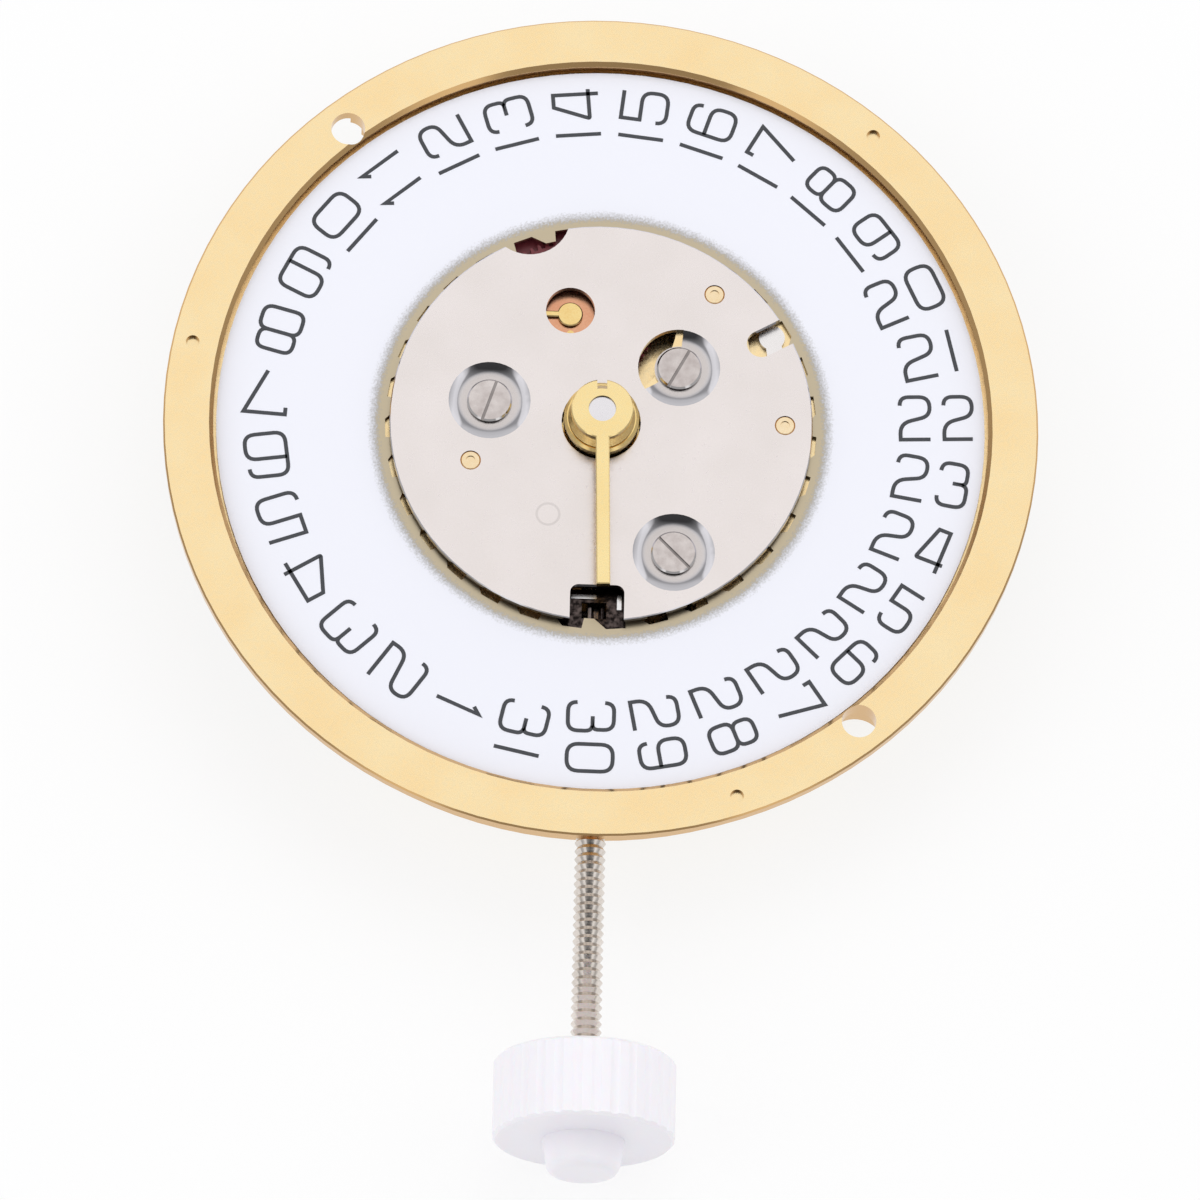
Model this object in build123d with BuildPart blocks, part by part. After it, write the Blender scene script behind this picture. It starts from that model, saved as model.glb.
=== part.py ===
from build123d import *
from math import atan2, cos, degrees, hypot, radians, sin
import os

os.makedirs("parts", exist_ok=True)

# Driving dimensions, in millimetres and degrees. The origin is the movement's centre
# on the dial seat, the hands point up along +Z and the stem leaves along -Y.

# Play between moving pieces, and how far a cut runs past the stock
running_play = 0.03
layer_play = 0.06
pocket_play = 0.15
overrun = 0.5

# Main plate
flange_radius = 12.8
flange_height = 0.40
flange_width = 1.46
flange_bore_bevel = 0.12
flange_edge_bevel = 0.05
channel_wall = 0.86
plate_height = 2.2
web_height = 0.20
foot_hole_radius = 0.50
foot_hole_inset = 0.945
foot_hole_angle = 130.3
foot_lug_height = 0.70
foot_notch_radius = 0.85
dimple_radius = 0.20
dimple_depth = 0.15
dimple_inset = 0.60
dimple_angle = 50
dimple_count = 3

# Date ring
ring_sink = 0.38
ring_height = 0.14
ring_days = 31
ring_outer_play = 0.09
ring_tip_radius = 6.0
ring_tooth_height = 0.32
ring_tooth_angle = 105.4
ring_slant_start_share = 0.44
ring_slant_end_share = 0.72
ring_tip_middle_share = 0.84
ring_tip_end_share = 0.96

# Cover that keeps the date ring down
cover_overlap = 0.19
cover_height = 0.20
cover_bevel = 0.03
cover_centre_radius = 1.16
dish_radius = 1.20
dish_floor_radius = 0.70
dish_depth = 0.12
post_window_radius = 0.72
stem_window_width = 1.58
stem_window_length = 1.11
stem_window_corner = 0.25
jumper_window_radius = 0.42
jumper_window_inset = 0.86
jumper_window_angle = 29.5
scallop_radius = 1.2
scallop_stand_off = 0.61
scallop_angle = 109.3
arc_window_inner = 0.72
arc_window_outer = 1.21
arc_window_start = 85
arc_window_sweep = 130

# Cover screws, each place a share of the cover's radius, an angle and the slot's turn
screw_head_radius = 0.66
screw_head_bevel = 0.05
screw_head_height = 0.14
screw_shank_radius = 0.32
screw_shank_length = 0.56
screw_slot_width = 0.09
screw_slot_depth = 0.06
screw_place_shares = ((0.538, 170, 72), (0.4635, 38.35, 62), (0.7375, -61.2, -45))

# Guide pins, each place a share of the cover's radius and an angle
pin_radius = 0.30
pin_depth = 0.62
pin_bevel = 0.04
pin_dimple_radius = 0.14
pin_dimple_depth = 0.04
pin_place_shares = ((0.8488, 51.9), (0.8691, 0.79), (0.6481, 199.27))

# Gear teeth, as shares of the module and of the tooth step
addendum_share = 0.85
dedendum_share = 1.1
tooth_root_share = 0.27
tooth_tip_share = 0.12

# Motion works: cannon pinion, minute wheel, hour wheel and setting wheel
motion_pitch = 0.0754
date_gear_height = 0.16
minute_gear_height = 0.18
cannon_leaves = 10
minute_teeth = 30
minute_leaves = 8
hour_teeth = 32
setting_teeth = 32
minute_direction = -84
cannon_radius = 0.45
cannon_tip_radius = 0.395
cannon_shoulder = 0.85
cannon_tip_height = 1.03
cannon_bore_depth = 0.55
hour_tube_radius = 0.85
hour_head_radius = 1.10
hour_head_bevel = 0.08
hour_head_start = 0.13
hour_top = 0.42
post_radius = 0.15
post_head_radius = 0.28
post_head_height = 0.05
post_depth = 0.14
setting_post_radius = 0.30

# Date driving wheel and its finger
date_direction = 105.64
date_teeth = 64
date_rim_radius = 3.02
date_rim_height = 0.06
date_rim_width = 3.70
date_rim_angle = 110
date_post_radius = 0.25
date_head_radius = 0.37
date_head_height = 0.10
date_head_bevel = 0.03
date_key_reach = 1.0
date_key_width = 0.18
date_bore_play = 0.02
finger_hub_radius = 0.86
finger_reach = 2.60
finger_root_width = 0.50
finger_tip_width = 0.16
finger_height = 0.10
finger_angle = -60
finger_pin_distance = 0.58
finger_pin_angle = -88
finger_pin_radius = 0.11

# Date jumper
jumper_head_radius = 0.38
jumper_head_angle = 30.98
jumper_heel_angle = 8
jumper_arm_width = 0.42
jumper_eye_radius = 0.50
jumper_tail_width = 0.12
jumper_tail_length = 2.92
jumper_tail_angle = -123.9
jumper_swing_room = 0.45

# Date corrector
corrector_angle = -73.64
corrector_teeth = 8
corrector_radius = 0.50
corrector_bore_radius = 0.17

# Stem and crown
stem_axis_drop = 1.40
stem_bearing_radius = 0.42
stem_pivot_radius = 0.20
stem_pivot_start = 3.30
stem_square_start = 5.05
stem_square_end = 7.60
stem_square_side = 0.50
stem_groove_place = 8.90
stem_groove_width = 0.34
stem_groove_radius = 0.25
thread_start = 12.45
thread_radius = 0.45
thread_root_radius = 0.36
thread_pitch = 0.25
thread_end = 21.05
pull_travel = 0.90
stem_play = 0.04
crown_radius = 2.63
crown_start = 19.25
crown_length = 2.36
crown_bevel = 0.10
crown_flutes = 30
crown_flute_radius = 0.32
crown_flute_depth = 0.035
stub_radius = 1.19
stub_end_radius = 1.02
stub_length = 1.0
stub_round = 0.30

# Sliding pinion and yoke
clutch_start = 5.50
clutch_length = 1.55
clutch_radius = 0.62
clutch_leaves = 10
clutch_leaf_length = 0.52
clutch_groove_radius = 0.46
clutch_groove_place = 6.30
clutch_groove_width = 0.34
clutch_travel = 0.45
clutch_face_teeth = 8
clutch_face_depth = 0.14
clutch_face_inner = 0.40
yoke_height = 0.14
yoke_sink = 0.76
yoke_tongue_width = 0.28
yoke_tongue_end = -0.30
yoke_body_x = 2.40
yoke_body_width = 0.74
yoke_body_length = 2.65
yoke_post_radius = 0.18
yoke_post_gap = 1.10
yoke_room = 0.12

# Setting lever, its post and its spring plate
lever_offset = 2.40
lever_eye_radius = 0.55
lever_width = 0.46
lever_pin_radius = 0.13
lever_pin_depth = 0.20
lever_tail = 1.05
lever_tail_angle = 128
lever_tail_width = 0.30
lever_tail_pin_radius = 0.10
lever_post_radius = 0.20
lever_post_shoulder_radius = 0.32
lever_room = 0.30
spring_plate_height = 0.10
spring_plate_sink = 0.60
spring_plate_width = 1.30
spring_arm_width = 0.14
spring_arm_radius = 1.36
spring_arm_start = 95
spring_arm_middle = 135
spring_arm_end = 175
keyless_floor_sink = 0.94

# Cover plate over the sliding pinion, with a window and two ribs
keyless_cover_x = -0.10
keyless_cover_start = 5.02
keyless_cover_width = 2.30
keyless_cover_length = 2.38
keyless_window_x = -0.07
keyless_window_width = 0.72
keyless_window_start = 5.42
keyless_window_length = 0.50
keyless_rib_height = 0.04
keyless_rib_width = 0.13
keyless_rib_gap = 0.17
keyless_cross_rib_length = 0.74
keyless_side_rib_x = 0.66
keyless_side_rib_length = 0.45

# Going train between the plate and the bridge
wheel_height = 0.14
level_gap = 0.12
centre_pitch = 0.10
centre_teeth = 36
third_leaves = 12
third_pitch = 0.10
third_teeth = 40
intermediate_leaves = 8
rotor_pitch = 0.08
intermediate_teeth = 48
rotor_leaves = 8
third_direction = -25
intermediate_direction = 65
rotor_direction = 30
arbor_radius = 0.12
centre_arbor_radius = 0.18
pivot_radius = 0.08
pivot_play = 0.02
wheel_rim_width = 0.22
wheel_spoke_width = 0.26
wheel_spokes = 4
wheel_hub_radius = 0.42

# Rotor, stator and coil
magnet_radius = 0.60
magnet_height = 0.42
magnet_drop = 1.30
stator_bore_radius = 0.80
stator_ring_radius = 1.35
stator_drop = 1.35
stator_height = 0.30
stator_arm_width = 1.10
stator_notch_radius = 0.10
stator_elbow_gap = 0.33
coil_reach = 3.37
core_reach = 2.92
coil_drop = 1.80
coil_length = 7.2
coil_radius = 0.78
coil_flange_height = 0.25
coil_flange_radius = 0.82
core_end_gap = 1.05
bobbin_wall = 0.125
core_width = 0.90
core_height = 0.30
core_end_radius = 0.78

# Battery and its contacts
cavity_wall = 0.118
battery_angle = 209.85
battery_radius = 4.75
battery_height = 2.05
battery_cap_inset = 0.75
battery_cap_height = 0.25
battery_edge = 0.15
battery_ceiling = 0.80
sleeve_gap = 0.04
sleeve_wall = 0.12
contact_height = 0.05
contact_width = 0.90
contact_inner = 1.0
contact_angle = 80
contact_wall = 0.10
contact_tab = 1.25
strap_height = 0.10
strap_width = 1.70
strap_screw_gap = 3.0
strap_screw_angle = 66.4
strap_overlap = 3.4
strap_boss_radius = 0.80
strap_screw_head_radius = 0.55
strap_screw_shank_radius = 0.28

# Bridge, with the corners of its outline as shares of the rotor's distance from the centre
bridge_height = 0.30
bridge_margin = 0.95
bridge_outline_shares = ((-0.160, 0.552), (0.4275, 0.748), (0.914, 0.406), (0.837, -0.517), (0.392, -0.428),
                         (-0.053, -0.267))
bridge_screw_radius = 0.28
bridge_screw_head_radius = 0.55
bridge_screw_head_height = 0.14
bridge_screw_depth = 0.30
bridge_hole_play = 0.03
bridge_bevel = 0.05
jewel_radius = 0.38
jewel_height = 0.16

# Circuit board and its parts
board_height = 0.20
board_margin = 0.70
board_edge_y = -4.6
board_play = 0.18
chip_offset = 1.2
chip_distance = 2.65
chip_side = 2.3
chip_height = 0.45
chip_edge = 0.12
crystal_offset = -1.3
crystal_inset = 1.75
crystal_length = 4.6
crystal_radius = 0.75
crystal_drop = 1.95
crystal_cap_length = 0.35
crystal_lead_radius = 0.11
crystal_lead_step = 0.35
crystal_lead_foot = 0.75
crystal_lead_gap = 0.6
board_screw_inset = 1.5
board_screw_angles = (46.6, 132.1)
core_screw_head_radius = 0.50
core_screw_shank_radius = 0.24
core_screw_depth = 0.45

# Test hand
hand_angle = 1.5
hand_height = 0.25
hand_ring_radius = 0.91
hand_hole_radius = 0.40
hand_slot_width = 0.29
hand_slot_depth = 0.30
hand_width = 0.40
hand_length = 5.45
hand_bevel = 0.03
collet_top_radius = 0.72
collet_base_radius = 0.98

# Radii worked out from the dimensions above
flange_bore_radius = flange_radius - flange_width
body_radius = flange_bore_radius + channel_wall
board_radius = body_radius - board_margin
foot_hole_distance = flange_radius - foot_hole_inset
dimple_distance = flange_radius - dimple_inset
ring_root_radius = ring_tip_radius + ring_tooth_height
cover_radius = ring_tip_radius + cover_overlap
boss_radius = ring_tip_radius - pocket_play
cavity_radius = battery_radius + sleeve_gap + sleeve_wall + layer_play
battery_cap_radius = battery_radius - battery_cap_inset
core_half_length = coil_length / 2 + coil_flange_height + core_end_gap

# Heights worked out from the dimensions above
cover_under = -cover_height
ring_top = -ring_sink
ring_under = ring_top - ring_height
ring_seat = ring_under - running_play
date_gear_under = ring_under - layer_play - date_gear_height
minute_gear_under = date_gear_under - layer_play - minute_gear_height
motion_floor = minute_gear_under - running_play
date_rim_under = date_gear_under - running_play - date_rim_height
date_floor = date_rim_under - running_play
web_under = motion_floor - web_height
centre_gear_under = web_under - layer_play - wheel_height
third_gear_under = centre_gear_under - level_gap - wheel_height
intermediate_gear_under = third_gear_under - level_gap - wheel_height
plate_back = -plate_height
bridge_back = plate_back - bridge_height
board_back = plate_back - board_height
battery_back = -battery_ceiling - contact_height - battery_height
keyless_floor = -keyless_floor_sink
ledge = -spring_plate_sink - spring_plate_height
yoke_under = -yoke_sink - yoke_height
stem_z = -stem_axis_drop

# Places worked out from the gears that mesh there
cannon_pitch_radius = motion_pitch * cannon_leaves / 2
minute_pitch_radius = motion_pitch * minute_teeth / 2
minute_leaf_radius = motion_pitch * minute_leaves / 2
hour_pitch_radius = motion_pitch * hour_teeth / 2
setting_pitch_radius = motion_pitch * setting_teeth / 2
date_pitch_radius = motion_pitch * date_teeth / 2


def polar(radius, angle, centre=(0, 0)):
    """A point at a radius and an angle from a centre."""
    return centre[0] + radius * cos(radians(angle)), centre[1] + radius * sin(radians(angle))


def outer_radius(teeth, pitch_radius):
    """Radius over the tooth tips."""
    return pitch_radius * (1 + 2 * addendum_share / teeth)


minute_place = polar(cannon_pitch_radius + minute_pitch_radius, minute_direction)
setting_place = polar(minute_pitch_radius + setting_pitch_radius, minute_direction, minute_place)
date_place = polar(hour_pitch_radius + date_pitch_radius, date_direction)
screw_places = [(*polar(share * cover_radius, angle), turn) for share, angle, turn in screw_place_shares]
pin_places = [polar(share * cover_radius, angle) for share, angle in pin_place_shares]
jumper_head = polar(ring_root_radius - jumper_head_radius - pocket_play, jumper_head_angle)
jumper_heel = polar(ring_tip_radius - jumper_arm_width / 2 - pocket_play, jumper_heel_angle)
jumper_tail_end = polar(jumper_tail_length, jumper_tail_angle, pin_places[1])
corrector_place = polar(ring_tip_radius - corrector_radius, corrector_angle)
lever_place = (-lever_offset, -stem_groove_place - pull_travel / 2)
centre_pitch_radius = centre_pitch * centre_teeth / 2
third_leaf_radius = centre_pitch * third_leaves / 2
third_pitch_radius = third_pitch * third_teeth / 2
intermediate_leaf_radius = third_pitch * intermediate_leaves / 2
intermediate_pitch_radius = rotor_pitch * intermediate_teeth / 2
rotor_leaf_radius = rotor_pitch * rotor_leaves / 2
third_place = polar(centre_pitch_radius + third_leaf_radius, third_direction)
train_step = third_pitch_radius + intermediate_leaf_radius
intermediate_place = polar(train_step, intermediate_direction, third_place)
rotor_place = polar(intermediate_pitch_radius + rotor_leaf_radius, rotor_direction, intermediate_place)
coil_place = (rotor_place[0] + coil_reach, rotor_place[1] + core_reach - core_half_length)
core_ends = [(coil_place[0], coil_place[1] + side * core_half_length) for side in (-1, 1)]
stator_elbow_x = coil_place[0] - coil_flange_radius - stator_elbow_gap - stator_arm_width / 2
stator_elbows = [(stator_elbow_x, core_end[1]) for core_end in core_ends]
train_reach = hypot(*rotor_place)
bridge_outline = [(x * train_reach, y * train_reach) for x, y in bridge_outline_shares]
bridge_screw_places = [bridge_outline[corner] for corner in (0, 1, 3)]
board_screw_places = [polar(board_radius - board_screw_inset, angle) for angle in board_screw_angles]
centre_room = outer_radius(centre_teeth, centre_pitch_radius) + layer_play
battery_place = polar(centre_room + cavity_wall + cavity_radius, battery_angle)
strap_screw_place = polar(battery_radius + strap_screw_gap, strap_screw_angle, battery_place)
crystal_place = (crystal_offset, board_radius - crystal_inset)
chip_place = (chip_offset, crystal_place[1] - chip_distance)
contact_edge = polar(cavity_radius + contact_wall, contact_angle, battery_place)
crystal_lead_length = crystal_cap_length + crystal_lead_step + crystal_lead_radius
crystal_pocket = (crystal_place[0] + crystal_lead_length / 2, crystal_place[1])
crystal_pocket_length = crystal_length + crystal_lead_length + 2 * layer_play
strap_screw_top = -stator_drop
yoke_middle = -clutch_groove_place
yoke_posts = [(yoke_body_x, yoke_middle + side * yoke_post_gap / 2) for side in (-1, 1)]
spring_plate_end = (yoke_body_x, lever_place[1])


def gear_points(teeth, pitch_radius, phase=0):
    """Outline of a toothed wheel: straight-sided teeth, the first one centred on phase."""
    module = 2 * pitch_radius / teeth
    tip = pitch_radius + addendum_share * module
    root = pitch_radius - dedendum_share * module
    step = 360 / teeth
    corners = ((root, -tooth_root_share), (tip, -tooth_tip_share),
               (tip, tooth_tip_share), (root, tooth_root_share))
    return [polar(radius, phase + (tooth + share) * step)
            for tooth in range(teeth) for radius, share in corners]


def mesh_phase(teeth, direction, other_teeth, other_phase):
    """Phase of a gear that lies in a direction from another, so that teeth face gaps."""
    offset = (other_phase - direction) * other_teeth / 360
    return direction + 180 + (0.5 - offset) * 360 / teeth


def finish(piece, label):
    """Labels a finished piece and writes it."""
    piece.part.label = label
    export_step(piece.part, "parts/" + label + ".step")


def link(start, end, width):
    """A straight bar with round ends between two points, in the sketch that is open."""
    middle = ((start[0] + end[0]) / 2, (start[1] + end[1]) / 2)
    run = (end[0] - start[0], end[1] - start[1])
    with Locations(middle):
        SlotCenterToCenter(hypot(*run), width, rotation=degrees(atan2(run[1], run[0])))


cannon_phase = 0
minute_phase = mesh_phase(minute_teeth, minute_direction, cannon_leaves, cannon_phase)
setting_phase = mesh_phase(setting_teeth, minute_direction, minute_teeth, minute_phase)
hour_phase = mesh_phase(hour_teeth, minute_direction + 180, minute_leaves, minute_phase)
date_phase = mesh_phase(date_teeth, date_direction, hour_teeth, hour_phase)
third_leaf_phase = mesh_phase(third_leaves, third_direction, centre_teeth, 0)
intermediate_leaf_phase = mesh_phase(intermediate_leaves, intermediate_direction, third_teeth, 0)
rotor_phase = mesh_phase(rotor_leaves, rotor_direction, intermediate_teeth, 0)

hour_room = outer_radius(hour_teeth, hour_pitch_radius) + pocket_play
minute_room = outer_radius(minute_teeth, minute_pitch_radius) + pocket_play
setting_room = outer_radius(setting_teeth, setting_pitch_radius) + pocket_play
date_room = date_rim_radius + pocket_play
keyless_cover_place = (keyless_cover_x, -keyless_cover_start - keyless_cover_length / 2)
third_room = outer_radius(third_teeth, third_pitch_radius) + pocket_play
intermediate_room = outer_radius(intermediate_teeth, intermediate_pitch_radius) + layer_play
stator_room = stator_arm_width + 2 * pocket_play

# Main plate: a thick brass disc with a flange, milled from both sides
with BuildPart() as main_plate:
    with BuildSketch(Plane.XY.offset(-flange_height)):
        Circle(flange_radius)
    extrude(amount=flange_height)
    chamfer(main_plate.edges().filter_by(GeomType.CIRCLE), flange_edge_bevel)
    with BuildSketch(Plane.XY.offset(plate_back)):
        Circle(body_radius)
    extrude(amount=plate_height - flange_height)
    # Channel for the date ring, and the lower boss inside it that carries the cover
    with BuildSketch(Plane.XY.offset(ring_seat)):
        Circle(flange_bore_radius)
        Circle(boss_radius, mode=Mode.SUBTRACT)
    extrude(amount=overrun - ring_seat, mode=Mode.SUBTRACT)
    with BuildSketch(Plane.XY.offset(cover_under)):
        Circle(flange_bore_radius)
    extrude(amount=overrun - cover_under, mode=Mode.SUBTRACT)
    bore_edges = main_plate.edges().filter_by(GeomType.CIRCLE).filter_by_position(Axis.Z, 0, 0)
    chamfer(bore_edges.sort_by(SortBy.RADIUS)[0], flange_bore_bevel)
    # Pocket for the motion works
    with BuildSketch(Plane.XY.offset(motion_floor)):
        Circle(hour_room)
        with Locations(minute_place):
            Circle(minute_room)
        with Locations(setting_place):
            Circle(setting_room)
    extrude(amount=cover_under - motion_floor, mode=Mode.SUBTRACT)
    # Pocket for the date driving wheel and the sweep of its finger
    with BuildSketch(Plane.XY.offset(date_floor)):
        with Locations(date_place):
            Circle(date_room)
    extrude(amount=cover_under - date_floor, mode=Mode.SUBTRACT)
    # Pocket for the date jumper, open to the ring's teeth
    with BuildSketch(Plane.XY.offset(ring_seat)):
        link(pin_places[1], jumper_head, 2 * jumper_eye_radius + jumper_swing_room)
        link(pin_places[1], jumper_tail_end, jumper_tail_width + 2 * jumper_swing_room)
    extrude(amount=cover_under - ring_seat, mode=Mode.SUBTRACT)
    # Pocket for the date corrector
    with BuildSketch(Plane.XY.offset(ring_seat)):
        with Locations(corrector_place):
            Circle(corrector_radius + 2 * pocket_play)
    extrude(amount=cover_under - ring_seat, mode=Mode.SUBTRACT)
    # Screw holes and pin holes of the cover
    with BuildSketch(Plane.XY.offset(cover_under - screw_shank_length)):
        with Locations(*[(x, y) for x, y, turn in screw_places]):
            Circle(screw_shank_radius)
        with Locations(*pin_places):
            Circle(pin_radius)
    extrude(amount=screw_shank_length + overrun, mode=Mode.SUBTRACT)
    # Channel of the sliding pinion, bore of the stem, and the pockets of the keyless works
    with BuildSketch(Plane.XY.offset(stem_z - clutch_radius - layer_play)):
        with Locations((0, -(clutch_start + clutch_length / 2 - clutch_travel / 2))):
            Rectangle(2 * (clutch_radius + pocket_play), clutch_length + clutch_travel + 2 * layer_play)
    extrude(amount=cover_under - stem_z + clutch_radius + layer_play, mode=Mode.SUBTRACT)
    with BuildSketch(Plane.XZ.offset(clutch_start + clutch_length)):
        with Locations((0, stem_z)):
            Circle(stem_bearing_radius + stem_play)
    extrude(amount=body_radius, mode=Mode.SUBTRACT)
    with BuildSketch(Plane.XZ.offset(stem_pivot_start - pocket_play)):
        with Locations((0, stem_z)):
            Circle(stem_pivot_radius + stem_play)
    extrude(amount=clutch_start - stem_pivot_start, mode=Mode.SUBTRACT)
    with BuildSketch(Plane.XY.offset(keyless_floor)):
        with Locations((yoke_body_x, yoke_middle)):
            Rectangle(yoke_body_width + 2 * yoke_room, yoke_body_length + clutch_travel + 2 * yoke_room)
        with Locations(((yoke_tongue_end + yoke_body_x) / 2, clutch_travel / 2 - clutch_groove_place)):
            Rectangle(yoke_body_x - yoke_tongue_end + 2 * yoke_room,
                      yoke_tongue_width + clutch_travel + 2 * yoke_room)
        link(lever_place, (lever_width, lever_place[1]), pull_travel + lever_width + 2 * lever_room)
        with Locations(lever_place):
            Circle(lever_tail + lever_room)
    extrude(amount=cover_under - keyless_floor, mode=Mode.SUBTRACT)
    with BuildSketch(Plane.XY.offset(stem_z)):
        with Locations((0, lever_place[1])):
            Rectangle(2 * (lever_pin_radius + layer_play) + lever_width / 2, pull_travel + lever_width)
    extrude(amount=keyless_floor - stem_z, mode=Mode.SUBTRACT)
    # Ledge that the keyless spring plate and the cover plate lie on
    with BuildSketch(Plane.XY.offset(ledge)):
        with Locations(keyless_cover_place):
            Rectangle(keyless_cover_width + 2 * layer_play, keyless_cover_length + 2 * layer_play)
        link(lever_place, spring_plate_end, spring_plate_width + 2 * layer_play)
        with Locations(lever_place):
            Circle(spring_arm_radius + spring_arm_width)
    extrude(amount=cover_under - ledge, mode=Mode.SUBTRACT)
    # Seats of the posts
    with BuildSketch(Plane.XY.offset(motion_floor - post_depth)):
        with Locations(minute_place):
            Circle(post_radius)
        with Locations(setting_place):
            Circle(setting_post_radius)
    extrude(amount=post_depth, mode=Mode.SUBTRACT)
    with BuildSketch(Plane.XY.offset(ring_seat - post_depth)):
        with Locations(corrector_place):
            Circle(post_radius)
    extrude(amount=post_depth, mode=Mode.SUBTRACT)
    with BuildSketch(Plane.XY.offset(keyless_floor - post_depth)):
        with Locations(*yoke_posts):
            Circle(yoke_post_radius)
        with Locations(lever_place):
            Circle(lever_post_radius)
    extrude(amount=post_depth, mode=Mode.SUBTRACT)
    with BuildSketch(Plane.XY.offset(ledge - post_depth)):
        with Locations(spring_plate_end):
            Circle(lever_post_radius)
    extrude(amount=post_depth, mode=Mode.SUBTRACT)
    # Back: going train, rotor and centre arbor
    with BuildSketch(Plane.XY.offset(plate_back)):
        Circle(centre_room)
        with Locations(third_place):
            Circle(third_room)
        with Locations(intermediate_place):
            Circle(intermediate_room)
        with Locations(rotor_place):
            Circle(stator_bore_radius)
    extrude(amount=web_under - plate_back, mode=Mode.SUBTRACT)
    with BuildSketch(Plane.XY.offset(web_under)):
        Circle(centre_arbor_radius + pivot_play)
    extrude(amount=web_height, mode=Mode.SUBTRACT)
    with BuildSketch(Plane.XY.offset(web_under)):
        with Locations(third_place, intermediate_place, rotor_place):
            Circle(pivot_radius + pivot_play)
    extrude(amount=post_depth, mode=Mode.SUBTRACT)
    # Back: stator, coil core and winding
    with BuildSketch(Plane.XY.offset(plate_back)):
        with Locations(rotor_place):
            Circle(stator_ring_radius + layer_play)
        for elbow, core_end in zip(stator_elbows, core_ends):
            link(rotor_place, elbow, stator_room)
            link(elbow, core_end, stator_room)
            with Locations(core_end):
                Circle(core_end_radius + layer_play)
    extrude(amount=-stator_drop - plate_back, mode=Mode.SUBTRACT)
    with BuildSketch(Plane.XY.offset(plate_back)):
        with Locations(coil_place):
            Rectangle(2 * (coil_flange_radius + layer_play),
                      coil_length + 2 * coil_flange_height + 2 * layer_play)
    extrude(amount=coil_flange_radius + layer_play - coil_drop - plate_back, mode=Mode.SUBTRACT)
    with BuildSketch(Plane.XY.offset(plate_back)):
        link(*core_ends, core_width + 2 * pocket_play)
    extrude(amount=-stator_drop - stator_height - plate_back, mode=Mode.SUBTRACT)
    with BuildSketch(Plane.XY.offset(-stator_drop)):
        with Locations(*core_ends):
            Circle(core_screw_shank_radius)
    extrude(amount=core_screw_depth, mode=Mode.SUBTRACT)
    # Back: battery, its contact blade and the crystal
    with BuildSketch(Plane.XY.offset(plate_back)):
        with Locations(battery_place):
            Circle(cavity_radius)
        with Locations(Location(contact_edge, contact_angle)):
            Rectangle(4 * contact_wall, contact_width + 2 * layer_play)
    extrude(amount=-battery_ceiling - plate_back, mode=Mode.SUBTRACT)
    with BuildSketch(Plane.XY.offset(plate_back)):
        with Locations(crystal_pocket):
            Rectangle(crystal_pocket_length, 2 * (crystal_radius + layer_play))
    extrude(amount=crystal_radius + layer_play - crystal_drop - plate_back, mode=Mode.SUBTRACT)
    # Back: screw holes of the bridge, board and battery strap
    with BuildSketch(Plane.XY.offset(plate_back)):
        with Locations(*bridge_screw_places, *board_screw_places):
            Circle(bridge_screw_radius)
    extrude(amount=bridge_screw_depth, mode=Mode.SUBTRACT)
    with BuildSketch(Plane.XY.offset(plate_back)):
        with Locations(strap_screw_place):
            Circle(strap_screw_shank_radius)
    extrude(amount=strap_screw_top - plate_back, mode=Mode.SUBTRACT)
    # Flange: two holes for the dial feet, clear behind, and three drilled dimples
    for foot_angle in (foot_hole_angle, foot_hole_angle + 180):
        with BuildSketch(Plane.XY.offset(plate_back)):
            with Locations(polar(foot_hole_distance, foot_angle)):
                Circle(foot_notch_radius)
        extrude(amount=-foot_lug_height - plate_back, mode=Mode.SUBTRACT)
        with BuildSketch(Plane.XY.offset(-foot_lug_height)):
            with Locations(polar(foot_hole_distance, foot_angle)):
                Circle(foot_hole_radius)
        extrude(amount=foot_lug_height, mode=Mode.SUBTRACT)
    with BuildSketch(Plane.XY.offset(-dimple_depth)):
        with PolarLocations(dimple_distance, dimple_count, dimple_angle):
            Circle(dimple_radius)
    extrude(amount=dimple_depth, mode=Mode.SUBTRACT)
finish(main_plate, "main_plate")

# Date ring: a flat ring with 31 saw teeth inside
ring_step = 360 / ring_days
ring_shape = ((0, ring_root_radius), (ring_slant_start_share, ring_root_radius),
              (ring_slant_end_share, ring_tip_radius), (ring_tip_end_share, ring_tip_radius))
ring_teeth = [polar(radius, ring_tooth_angle + (ring_tip_middle_share - day - share) * ring_step)
              for day in range(ring_days) for share, radius in ring_shape]
with BuildPart() as date_ring:
    with BuildSketch(Plane.XY.offset(ring_under)):
        Circle(flange_bore_radius - ring_outer_play)
        Polygon(*ring_teeth, align=None, mode=Mode.SUBTRACT)
    extrude(amount=ring_height)
finish(date_ring, "date_ring")

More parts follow.
